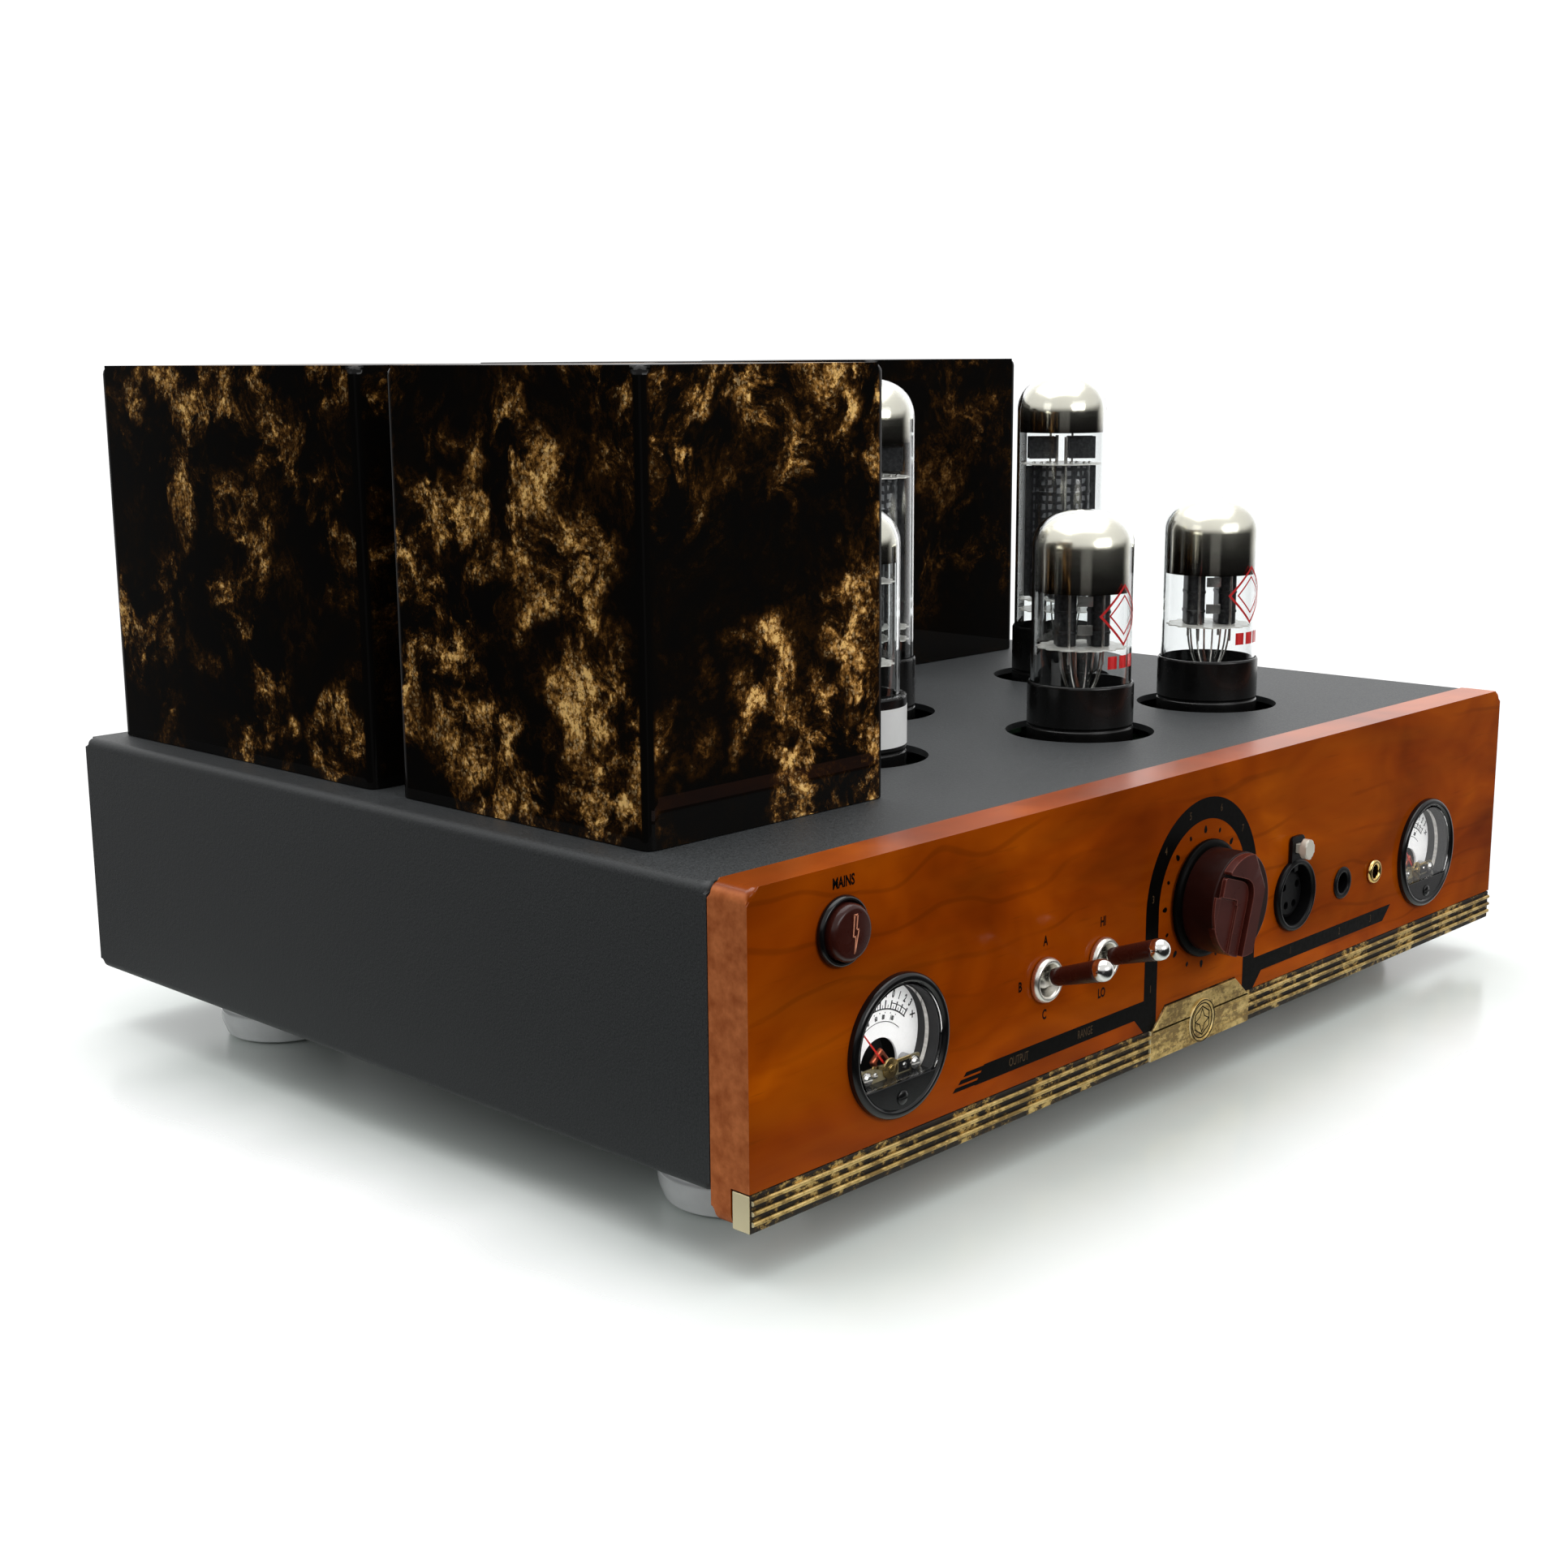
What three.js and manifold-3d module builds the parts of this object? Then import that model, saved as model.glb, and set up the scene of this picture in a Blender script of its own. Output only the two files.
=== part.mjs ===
// Tube headphone amplifier: wooden front panel, steel chassis, four covered transformers, five plug-in tubes.
// Millimetres, +Z up, the front faces -Y, +X is to the right seen from the front.
// The origin is the centre of the footprint, on the surface that the feet stand on.
import * as THREE from 'three';
import { mergeVertices } from 'three/addons/utils/BufferGeometryUtils.js';
import Module from 'manifold-3d';

const wasm = await Module();
wasm.setup();

// ---- Driving dimensions -------------------------------------------------------------------------

const GAP = 0.3; // clearance between pieces that touch
const PANEL = { width: 380, height: 82.5, thickness: 12.7, corner: 4, arris: 1.6, bottom: 12.5 };
const CHASSIS = { depth: 280.5, bottom: 19, top: 94.4, wall: 2, bend: 2.8, endBend: 2.2 };
const FOOT = { radius: 20, x: 153.7, fromFront: [41.3, 245] };
const COVER = { height: 115.7, wall: 3, corner: 3.4, edge: 2.8 };
const HOLE_RADIUS = 23.5; // tube holes in the top plate
const OCTAL = {
  radius: 16.85, pins: 8, pinCircle: 8.72, pinRadius: 1.2, pinLength: 11, keyRadius: 3.95, keyLength: 14,
};
const METER = { bezel: 18.5, window: 15.9, body: 17, x: 137.6, z: 45.7, pivotDrop: 6.6 };
const TOGGLE = { reach: 20, tilt: 18, pivot: 0.4, tip: 3.1, z: 49, bushing: 5, ring: 6.2 };
const KNOB = { radius: 15.2, ring: 17.4, length: 15, turn: 17, z: 56.6, bushing: 4.7 };
const REAR_REACH = 8.3; // how far the input sockets stand out of the back

// Covers: centre from the panel's middle, depth from the panel's face, and footprint.
const COVERS = {
  choke: { x: [-178.8, -91.3], y: [43.9, 142.8] },
  mains: { x: [-178.8, -91.3], y: [155.8, 288.9] },
  output_left: { x: [-32, 55.6], y: [196.7, 288.9] },
  output_right: { x: [78.8, 166.4], y: [196.7, 288.9] },
};

// Tubes: place from the panel's middle and face, and heights above the top plate.
const DRIVER = { baseTop: 16, glassTop: 70, glass: 15.85, kind: 'driver' };
const POWER = { baseTop: 18.8, glassTop: 110, glass: 16.6, kind: 'power' };
const RECTIFIER = { baseTop: 18.8, glassTop: 74.5, glass: 14.8, kind: 'rectifier' };
const TUBES = {
  driver_left: { x: 29.5, y: 66, ...DRIVER },
  driver_right: { x: 103.7, y: 66, ...DRIVER },
  power_left: { x: 12.1, y: 141.5, ...POWER },
  power_right: { x: 121, y: 141.5, ...POWER },
  rectifier: { x: -50.6, y: 92.6, ...RECTIFIER },
};
const BASE_SINK = 8; // how far a tube base goes below the top plate's face

const DEG = Math.PI / 180;
const chassisFront = PANEL.thickness + GAP;
const chassisRear = chassisFront + CHASSIS.depth;
const toggleReach = TOGGLE.reach * Math.cos(TOGGLE.tilt * DEG) - TOGGLE.pivot + TOGGLE.tip;
const FRONT_Y = -(chassisRear + REAR_REACH - toggleReach) / 2; // the panel's face

// ---- Solids -------------------------------------------------------------------------------------

/** A closed geometry as a solid that can be joined and cut. */
function solid(geometry) {
  const bare = geometry.clone();
  bare.deleteAttribute('normal');
  bare.deleteAttribute('uv');
  const merged = mergeVertices(bare, 1e-4);
  const index = merged.index.array;
  const kept = [];
  for (let i = 0; i < index.length; i += 3) {
    const [a, b, c] = [index[i], index[i + 1], index[i + 2]];
    if (a !== b && b !== c && c !== a) kept.push(a, b, c);
  }
  return new wasm.Manifold(new wasm.Mesh({
    numProp: 3,
    vertProperties: new Float32Array(merged.attributes.position.array),
    triVerts: new Uint32Array(kept),
  }));
}

function geometryOf(manifold) {
  const mesh = manifold.getMesh();
  const geometry = new THREE.BufferGeometry();
  geometry.setAttribute('position', new THREE.BufferAttribute(mesh.vertProperties, 3));
  geometry.setIndex(new THREE.BufferAttribute(mesh.triVerts, 1));
  geometry.computeVertexNormals();
  return geometry;
}

/** Joins geometries into one body. */
function fuse(...geometries) {
  return geometryOf(geometries.map(solid).reduce((whole, next) => whole.add(next)));
}

/** Cuts the later geometries out of the first. */
function carve(geometry, ...tools) {
  return geometryOf(tools.map(solid).reduce((whole, tool) => whole.subtract(tool), solid(geometry)));
}

/** A box from its low and high limits along each axis. */
function block([x0, x1], [y0, y1], [z0, z1]) {
  return new THREE.BoxGeometry(x1 - x0, y1 - y0, z1 - z0)
    .translate((x0 + x1) / 2, (y0 + y1) / 2, (z0 + z1) / 2);
}

/** Points [radius, height] turned round the Y axis, running anticlockwise seen with the axis on the left. */
function turnedY(profile, segments) {
  const points = profile.map(([radius, height]) => new THREE.Vector2(radius, height));
  return geometryOf(solid(new THREE.LatheGeometry(points, segments)));
}

/** The same, turned round the Z axis. */
function turnedZ(profile, segments) {
  return turnedY(profile, segments).rotateX(90 * DEG);
}

/** A round bar along Y between two depths. */
function barY(radius, y0, y1, segments, x = 0, z = 0) {
  return new THREE.CylinderGeometry(radius, radius, y1 - y0, segments).translate(x, (y0 + y1) / 2, z);
}

/** A round bar along Z between two heights. */
function barZ(radius, z0, z1, segments, x = 0, y = 0) {
  return new THREE.CylinderGeometry(radius, radius, z1 - z0, segments)
    .rotateX(90 * DEG)
    .translate(x, y, (z0 + z1) / 2);
}

/** Points along an arc of the given centre and radius, as [u, v] pairs. */
function arc(u, v, radius, from, to, steps) {
  return Array.from({ length: steps + 1 }, (_, i) => {
    const angle = (from + ((to - from) * i) / steps) * DEG;
    return [u + radius * Math.cos(angle), v + radius * Math.sin(angle)];
  });
}

function roundedRectangle(width, height, corner, steps) {
  const u = width / 2 - corner;
  const v = height / 2 - corner;
  return [
    ...arc(u, -v, corner, -90, 0, steps),
    ...arc(u, v, corner, 0, 90, steps),
    ...arc(-u, v, corner, 90, 180, steps),
    ...arc(-u, -v, corner, 180, 270, steps),
  ];
}

const shapeOf = (points) => new THREE.Shape(points.map(([u, v]) => new THREE.Vector2(u, v)));

/** An outline in X and Z, extruded along Y from y0 to y1, with an optional rounded arris at both ends. */
function slabY(outline, y0, y1, arris = 0, steps = 2) {
  return new THREE.ExtrudeGeometry(shapeOf(outline), {
    depth: y1 - y0 - 2 * arris,
    bevelEnabled: arris > 0,
    bevelThickness: arris,
    bevelSize: arris,
    bevelOffset: -arris,
    bevelSegments: steps,
    curveSegments: 1,
  })
    .rotateX(90 * DEG)
    .translate(0, y1 - arris, 0);
}

/** An outline in X and Y, extruded up Z from z0 to z1, with an optional rounded arris at both ends. */
function slabZ(outline, z0, z1, arris = 0, steps = 2) {
  return new THREE.ExtrudeGeometry(shapeOf(outline), {
    depth: z1 - z0 - 2 * arris,
    bevelEnabled: arris > 0,
    bevelThickness: arris,
    bevelSize: arris,
    bevelOffset: -arris,
    bevelSegments: steps,
    curveSegments: 1,
  }).translate(0, 0, z0 + arris);
}

// ---- Materials ----------------------------------------------------------------------------------

const finish = (color, roughness, metalness = 0, extra = {}) =>
  new THREE.MeshStandardMaterial({ color, roughness, metalness, ...extra });

const MATERIALS = {
  powderCoat: finish(0x303434, 0.75, 0.2),
  cherry: finish(0x8a4200, 0.3),
  brass: finish(0xd7b46e, 0.35, 1),
  resin: finish(0x0b0908, 0.08),
  aluminium: finish(0xd4d6d6, 0.35, 1),
  bakelite: finish(0x46201a, 0.25),
  blackPlastic: finish(0x101010, 0.4),
  chrome: finish(0xe4e4e4, 0.08, 1),
  steel: finish(0x9a9c9e, 0.4, 1),
  dialWhite: finish(0xf0f0ee, 0.6),
  needleRed: finish(0xc81e14, 0.5),
  glass: finish(0xffffff, 0.03, 0, { transparent: true, opacity: 0.35 }),
  tubeBase: finish(0x0c0c0c, 0.35),
  anode: finish(0x3a3a3c, 0.5, 0.6),
  ceramic: finish(0xe8e4d8, 0.5),
  lamination: finish(0x5c5a58, 0.5, 0.8),
  board: finish(0x1f4a2c, 0.6),
  gold: finish(0xd9b04a, 0.2, 1),
};

const amplifier = new THREE.Group();

/** Adds one named piece to a group, at a place in that group. */
function piece(group, name, geometry, material, place = [0, 0, 0]) {
  const mesh = new THREE.Mesh(geometry, material);
  mesh.name = name;
  mesh.position.set(...place);
  group.add(mesh);
  return mesh;
}

/** A group at a place counted from the panel's middle, the panel's face and the floor. */
function station(x, y, z) {
  const group = new THREE.Group();
  group.position.set(x, FRONT_Y + y, z);
  amplifier.add(group);
  return group;
}

// ---- Chassis ------------------------------------------------------------------------------------

const BOTTOM_PLATE = 1.5;
const INLET = { x: -120, z: 52, width: 27, height: 20 };
const INPUTS = { x: 110, z: 58, spacing: 22, hole: 5.4 };
const FRONT_WINDOW = { x: 172, low: 24, high: 90 };

function chassisShell() {
  const half = PANEL.width / 2;
  const middle = (CHASSIS.bottom + CHASSIS.top) / 2;
  const outline = roundedRectangle(PANEL.width, CHASSIS.top - CHASSIS.bottom, CHASSIS.bend, 2)
    .map(([x, z]) => [x, z + middle]);
  const outer = slabY(outline, chassisFront, chassisRear, CHASSIS.endBend, 2);
  const w = CHASSIS.wall;
  const hollow = block(
    [-half + w, half - w],
    [chassisFront + w, chassisRear - w],
    [CHASSIS.bottom - 1, CHASSIS.top - w],
  );
  const window = block(
    [-FRONT_WINDOW.x, FRONT_WINDOW.x],
    [chassisFront - 1, chassisFront + w + 1],
    [FRONT_WINDOW.low, FRONT_WINDOW.high],
  );
  const tubeHoles = Object.values(TUBES).map(({ x, y }) => (
    barZ(HOLE_RADIUS, CHASSIS.top - w - 1, CHASSIS.top + 1, 32, x, y)));
  const inletHole = block(
    [INLET.x - INLET.width / 2 - GAP, INLET.x + INLET.width / 2 + GAP],
    [chassisRear - w - 1, chassisRear + 1],
    [INLET.z - INLET.height / 2 - GAP, INLET.z + INLET.height / 2 + GAP],
  );
  const inputHoles = [-0.5, 0.5].map((side) => (
    barY(INPUTS.hole, chassisRear - w - 1, chassisRear + 1, 16, INPUTS.x + side * INPUTS.spacing, INPUTS.z)));
  return carve(outer, hollow, window, ...tubeHoles, inletHole, ...inputHoles);
}

function bottomPlate() {
  const x = PANEL.width / 2 - CHASSIS.wall - GAP;
  const y = [chassisFront + CHASSIS.wall + GAP, chassisRear - CHASSIS.wall - GAP];
  return block([-x, x], y, [CHASSIS.bottom, CHASSIS.bottom + BOTTOM_PLATE]);
}

/** Turned foot: a cylinder that tapers in towards the floor. */
function foot() {
  const top = CHASSIS.bottom - GAP;
  return turnedZ([
    [0, 0], [FOOT.radius - 3, 0], [FOOT.radius - 1.4, 2.3], [FOOT.radius, 5],
    [FOOT.radius, top - 1], [FOOT.radius - 1, top], [0, top],
  ], 20);
}

// ---- Front panel and trim -----------------------------------------------------------------------

const TRIM = { depth: 5.8, height: 9.6, rib: 0.9, ribs: [2.6, 5.1, 7.6], ribHeight: 0.9, ribEnd: 10.5 };
const CREST = { base: 26.2, top: 18.5, height: 15.4, depth: 2.2, emblem: 6.6, emblemZ: 6.8 };
const JACK_LARGE = { x: 81.8, z: 45.5, barrel: 4.4, bore: 3.3, ring: 5.25, proud: 0.9 };
const JACK_SMALL = { x: 102.3, z: 45.5, barrel: 3.4, bore: 2.25, ring: 4, proud: 1.4 };
const ROUND_SOCKET = { x: 51.3, z: 47.5, body: 10.9, flange: 11.4 };
const LUG = { half: 3.7, low: 9.5, high: 18.8, front: -1.4 }; // heights from the round socket's centre
const TAB = { width: 5.2, height: 6.2, rise: 15, stem: 1.4, front: -5.4, back: -3.1 };
const BUTTON = { x: -158.5, z: 79.1, bezel: 8.75, barrel: 7.6, cap: 7.1, proud: 4.7 };
const TOGGLES = { left: -77.5, right: -51.1 };

/** Trapezium of the raised centre plate, grown outwards by a margin. */
function crestOutline(margin) {
  const bottom = PANEL.bottom + TRIM.height - 1;
  const top = PANEL.bottom + CREST.height + margin;
  return [
    [-CREST.base - margin, bottom],
    [CREST.base + margin, bottom],
    [CREST.top + margin, top],
    [-CREST.top - margin, top],
  ];
}

function frontPanel() {
  const middle = PANEL.bottom + PANEL.height / 2;
  const outline = roundedRectangle(PANEL.width, PANEL.height, PANEL.corner, 3)
    .map(([x, z]) => [x, z + middle]);
  const board = slabY(outline, 0, PANEL.thickness, PANEL.arris, 2);
  const through = (radius, x, z, segments = 28) => barY(radius, -1, PANEL.thickness + 1, segments, x, z);
  const rabbet = block(
    [-PANEL.width, PANEL.width],
    [-1, TRIM.depth + GAP],
    [0, PANEL.bottom + TRIM.height + GAP],
  );
  const slotHalf = TAB.stem + GAP;
  const tabZ = ROUND_SOCKET.z + TAB.rise;
  const tabSlot = block(
    [ROUND_SOCKET.x - slotHalf, ROUND_SOCKET.x + slotHalf],
    [-1, PANEL.thickness + 1],
    [tabZ - slotHalf, tabZ + slotHalf],
  );
  return carve(
    board,
    rabbet,
    slabY(crestOutline(GAP), -1, CREST.depth + GAP),
    through(BUTTON.barrel + GAP, BUTTON.x, BUTTON.z),
    through(METER.body + GAP, -METER.x, METER.z, 32),
    through(METER.body + GAP, METER.x, METER.z, 32),
    through(TOGGLE.bushing + GAP, TOGGLES.left, TOGGLE.z, 20),
    through(TOGGLE.bushing + GAP, TOGGLES.right, TOGGLE.z, 20),
    through(KNOB.bushing + 0.4, 0, KNOB.z, 20),
    through(ROUND_SOCKET.body + GAP, ROUND_SOCKET.x, ROUND_SOCKET.z),
    tabSlot,
    through(JACK_LARGE.barrel + GAP, JACK_LARGE.x, JACK_LARGE.z, 20),
    through(JACK_SMALL.barrel + GAP, JACK_SMALL.x, JACK_SMALL.z, 16),
  );
}

/** Brass strip in the rabbet, with lengthwise ribs and a raised centre plate that carries a round emblem. */
function brassTrim() {
  const half = PANEL.width / 2;
  const low = PANEL.bottom;
  const strip = block([-half, half], [0, TRIM.depth], [low, low + TRIM.height]);
  const crest = slabY(crestOutline(0), -0.6, CREST.depth);
  const lower = block([-CREST.base, CREST.base], [-0.6, 0.5], [low + 0.2, low + TRIM.height]);
  const emblem = barY(CREST.emblem, -1.3, 0, 28, 0, low + CREST.emblemZ);
  const ribs = TRIM.ribs.flatMap((height) => [-1, 1].map((side) => {
    const ends = [side * (TRIM.ribEnd + 17), side * (half - 0.4)].sort((a, b) => a - b);
    return block(ends, [-TRIM.ribHeight, 0.5], [low + height - TRIM.rib, low + height + TRIM.rib]);
  }));
  return fuse(strip, crest, lower, emblem, ...ribs);
}

// ---- Transformer covers and what they hide ---------------------------------------------------------

function cover({ x, y }) {
  const width = x[1] - x[0];
  const depth = y[1] - y[0];
  const outer = slabZ(roundedRectangle(width, depth, COVER.corner, 3), -10, COVER.height, COVER.edge, 3);
  const below = block([-width, width], [-depth, depth], [-20, GAP]);
  const t = COVER.wall;
  const hollow = block(
    [-width / 2 + t, width / 2 - t],
    [-depth / 2 + t, depth / 2 - t],
    [-1, COVER.height - t],
  );
  return carve(outer, below, hollow);
}

/** Laminated core with the winding through its two windows, the stack standing on the top plate. */
function transformer({ x, y }) {
  const core = { width: x[1] - x[0] - 14, height: COVER.height - 22, stack: (y[1] - y[0]) * 0.42 };
  const coil = { width: core.width * 0.72, stack: y[1] - y[0] - 16 };
  const low = 2 * GAP;
  const laminations = block(
    [-core.width / 2, core.width / 2],
    [-core.stack / 2, core.stack / 2],
    [low, core.height],
  );
  const edge = core.height * 0.18;
  const winding = slabZ(roundedRectangle(coil.width, coil.stack, 6, 2), low + edge, core.height - edge);
  return fuse(laminations, winding);
}

// ---- Tubes --------------------------------------------------------------------------------------

const GLASS_WALL = 1;
const BASE_FLOOR = 2.5;
const TUBE_SEGMENTS = 20;

/** Centres of the eight pins on their circle, none of them in line with the sides. */
function pinPlaces() {
  return Array.from({ length: OCTAL.pins }, (_, i) => {
    const angle = ((i + 0.5) * 2 * Math.PI) / OCTAL.pins;
    return [OCTAL.pinCircle * Math.cos(angle), OCTAL.pinCircle * Math.sin(angle)];
  });
}

/** Octal base: a cup with eight pins and a centre key post. Heights count from the top plate's face. */
function tubeBase({ baseTop, glass }) {
  const r = OCTAL.radius;
  const bore = glass + GAP;
  const cup = turnedZ([
    [0, -BASE_SINK], [r - 0.8, -BASE_SINK], [r, -BASE_SINK + 0.8],
    [r, baseTop - 0.5], [r - 0.25, baseTop], [Math.min(bore, r - 0.4), baseTop],
    [Math.min(bore, r - 0.4), -BASE_SINK + BASE_FLOOR], [0, -BASE_SINK + BASE_FLOOR],
  ], TUBE_SEGMENTS);
  const key = barZ(OCTAL.keyRadius, -BASE_SINK - OCTAL.keyLength, -BASE_SINK + 1, 8);
  const pins = pinPlaces().map((at) => (
    barZ(OCTAL.pinRadius, -BASE_SINK - OCTAL.pinLength, -BASE_SINK + 1, 5, ...at)));
  return fuse(cup, key, ...pins);
}

/** Glass envelope: a domed shell, open at the bottom where it sits in the base. */
function tubeGlass({ glassTop, glass, kind }) {
  const outer = Math.min(glass, OCTAL.radius - 0.7);
  const low = -BASE_SINK + BASE_FLOOR + GAP;
  const dome = kind === 'driver' ? 11 : 12.5; // height of the dome
  const profile = (radius, rise, top) => [0, 30, 60, 90].map((a) => [
    radius * Math.cos(a * DEG), top - rise + rise * Math.sin(a * DEG)]);
  const outside = profile(outer, dome, glassTop);
  const inside = profile(outer - GLASS_WALL, dome - GLASS_WALL * 0.5, glassTop - GLASS_WALL).reverse();
  const rim = [outer - GLASS_WALL, low];
  return turnedZ([rim, [outer, low], ...outside, ...inside, rim], TUBE_SEGMENTS);
}

/** Electrodes of each kind of tube: plates held between mica discs on support rods. */
function electrodes({ kind, glassTop, glass }) {
  const reach = glass - GLASS_WALL - GAP - 0.3;
  const low = -BASE_SINK + BASE_FLOOR + 2 * GAP;
  const layouts = {
    driver: { mica: [27, glassTop - 21], plates: [-6.2, 6.2], plate: [4.2, 8.5] },
    power: { mica: [29, glassTop - 32], plates: [0], plate: [11, 8.5] },
    rectifier: { mica: [28, glassTop - 22], plates: [-5.6, 5.6], plate: [4.4, 7] },
  };
  const { mica, plates, plate } = layouts[kind];
  const discs = mica.map((z) => barZ(reach, z, z + 0.6, 12));
  const stem = barZ(5, low, 14, 8);
  const flare = barZ(2.4, 13, mica[0] + 0.3, 6);
  const anodes = plates.map((x) => (
    block([x - plate[0], x + plate[0]], [-plate[1], plate[1]], [mica[0] + 0.3, mica[1] + 0.3])));
  const rods = [-1, 1].map((side) => barZ(0.6, mica[0] - 9, mica[1] + 6, 4, 0, side * (plate[1] + 1.2)));
  const getter = [-1, 1].map((side) => barZ(0.5, mica[1], mica[1] + 8, 4, side * 4, 0));
  const ring = block([-4.6, 4.6], [-1.2, 1.2], [mica[1] + 7, mica[1] + 8.2]);
  return fuse(stem, flare, ...discs, ...anodes, ...rods, ...getter, ring);
}

/** Socket under the top plate: a ceramic disc with eight pin holes and a key hole. */
function tubeSocket() {
  const top = -BASE_SINK - GAP;
  const height = 15.5;
  const body = turnedZ([
    [0, top - height], [13, top - height], [13, top - 4], [19.5, top - 4], [19.5, top], [0, top],
  ], 16);
  const keyHole = barZ(OCTAL.keyRadius + GAP + 0.2, top - height + 1, top + 1, 8);
  const pinHoles = pinPlaces().map((at) => (
    barZ(OCTAL.pinRadius + 0.5, top - height + 2, top + 1, 5, ...at)));
  return carve(body, keyHole, ...pinHoles);
}

/** Circuit board below the sockets, with the supply capacitors standing on its underside. */
function circuitBoard() {
  const top = CHASSIS.top - BASE_SINK - 15.5 - 2 * GAP;
  const board = block([-82, 148], [42, 172], [top - 1.6, top]);
  const capacitors = [0, 1, 2].map((i) => barZ(11, top - 34, top - 1, 16, -44 + 27 * i, 152));
  return fuse(board, ...capacitors);
}

// ---- Meters -------------------------------------------------------------------------------------

const DIAL_DEPTH = 7.4;
const WINDOW_SILL = -9; // the dial shows above this height, counted from the meter's centre

/** Housing: a cup with a bezel, and a sill with the zero screw across the lower part of its mouth. */
function meterHousing() {
  const wall = METER.window;
  const cup = turnedY([
    [0, 24], [METER.body, 24], [METER.body, -GAP], [METER.bezel, -GAP], [METER.bezel, -1.5],
    [METER.bezel - 0.8, -2.2], [wall, -2.2], [wall, 22], [0, 22],
  ].reverse(), 30);
  const start = Math.asin(WINDOW_SILL / (wall + 0.5)) / DEG;
  const sill = slabY(arc(0, 0, wall + 0.5, 180 - start, 360 + start, 8), -1.6, 5);
  const screw = barY(1.8, -2.1, 0, 12, 0, -13.2);
  return fuse(cup, sill, screw);
}

/** Dial plate with the movement below it, on the cup's back. */
function meterDial() {
  const radius = METER.window - GAP;
  const plate = slabY(arc(0, 0, radius, -28, 208, 20), DIAL_DEPTH, DIAL_DEPTH + 0.8);
  const carrier = block([-9, 9], [DIAL_DEPTH + 0.5, 21.5], [-8.5, 6]);
  const magnet = barY(5.6, DIAL_DEPTH - 2, DIAL_DEPTH + 1, 16, 0, -METER.pivotDrop);
  const bridge = block(
    [-11, 11],
    [DIAL_DEPTH - 3.4, DIAL_DEPTH + 0.4],
    [-METER.pivotDrop - 1.9, -METER.pivotDrop + 0.6],
  );
  return fuse(plate, carrier, magnet, bridge);
}

/** Needle on its hub, pointing along rest degrees left of upright. The pivot is the local origin. */
function meterNeedle() {
  const hub = barY(1.5, -0.8, 0.6, 10);
  const pointer = block([-0.25, 0.25], [-0.35, 0.15], [0, 16.8]);
  return fuse(hub, pointer).rotateY(-40 * DEG);
}

function meterWindow() {
  const radius = METER.window - GAP;
  const sill = WINDOW_SILL + GAP;
  const start = Math.asin(sill / radius) / DEG;
  return slabY(arc(0, 0, radius, start, 180 - start, 20), -1.9, -0.9);
}

// ---- Switches -----------------------------------------------------------------------------------

/** Bezel and body of the power switch: a cup that the cap slides in. */
function buttonBezel() {
  const bore = BUTTON.cap + GAP - 0.05;
  return turnedY([
    [0, 26], [BUTTON.barrel, 26], [BUTTON.barrel, -GAP], [BUTTON.bezel, -GAP], [BUTTON.bezel, -1.3],
    [BUTTON.bezel - 0.5, -1.8], [bore, -1.8], [bore, 10], [0, 10],
  ].reverse(), 28);
}

function buttonCap() {
  const { cap, proud } = BUTTON;
  return turnedY([
    [0, 7], [cap, 7], [cap, -proud + 1.6], [cap * 0.93, -proud + 0.7],
    [cap * 0.7, -proud + 0.25], [0, -proud],
  ].reverse(), 28);
}

/** Toggle switch: dress ring, threaded bushing and body, with a flared bore for the lever. */
function toggleBody() {
  const shell = turnedY([
    [0, 14], [TOGGLE.bushing, 14], [TOGGLE.bushing, -GAP], [TOGGLE.ring, -GAP],
    [TOGGLE.ring, -1.6], [TOGGLE.ring - 0.7, -2.3], [0, -2.3],
  ].reverse(), 24);
  const box = block([-6.5, 6.5], [13.5, 25], [-6.5, 6.5]);
  const bore = turnedY([[0, -3], [4.3, -3], [3.6, 0.6], [3.6, 8], [0, 8]], 20);
  return carve(fuse(shell, box), bore);
}

/** Lever with its ball, sleeve and round tip. It points straight out; the pivot is the local origin. */
function toggleLever() {
  const L = TOGGLE.reach;
  const profile = [
    [0, 3], [1.6, 2.4], [2.7, 0], [1.5, -1.9], [1.5, -3.4], [2.05, -3.6], [2.9, -L + 4], [2.9, -L + 2.4],
    ...[-40, 0, 35, 65].map((a) => [TOGGLE.tip * Math.cos(a * DEG), -L - TOGGLE.tip * Math.sin(a * DEG)]),
    [0, -L - TOGGLE.tip],
  ];
  return turnedY(profile.reverse(), 18).rotateX(-TOGGLE.tilt * DEG);
}

// ---- Volume control -----------------------------------------------------------------------------

const SHAFT = { radius: 3, front: -10 };

/** Stepped knob on a base ring: two arched steps sunk into the left of the face, a slope cut off the right. */
function volumeKnob() {
  const { radius, ring, length, turn } = KNOB;
  const body = turnedY([
    [0, -0.8], [ring, -0.8], [ring, -2], [ring - 0.8, -2.6], [radius, -2.9], [radius, -length + 0.6],
    [radius - 0.6, -length], [0, -length],
  ].reverse(), 40);
  const sunk = (right, top, bend, depth) => slabY([
    [-25, -25], [right, -25], ...arc(right - bend, top - bend, bend, 0, 90, 4), [-25, top],
  ], -length - 1, -length + depth);
  const slope = (reach) => slabY([[reach, 0.5], [18, 0.5], [18, (reach - 18) * 0.9]], -25, 25)
    .rotateX(90 * DEG)
    .translate(0, -length, 0);
  const socket = barY(SHAFT.radius + 0.05 + GAP, SHAFT.front - 0.5, 2, 16);
  return carve(
    body,
    sunk(1.4, 6.5, 5, 1.2),
    sunk(-4.2, 0.5, 2, 2.5),
    slope(7.5),
    slope(9.3).rotateY(-45 * DEG),
    socket,
  ).rotateY(turn * DEG);
}

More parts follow.
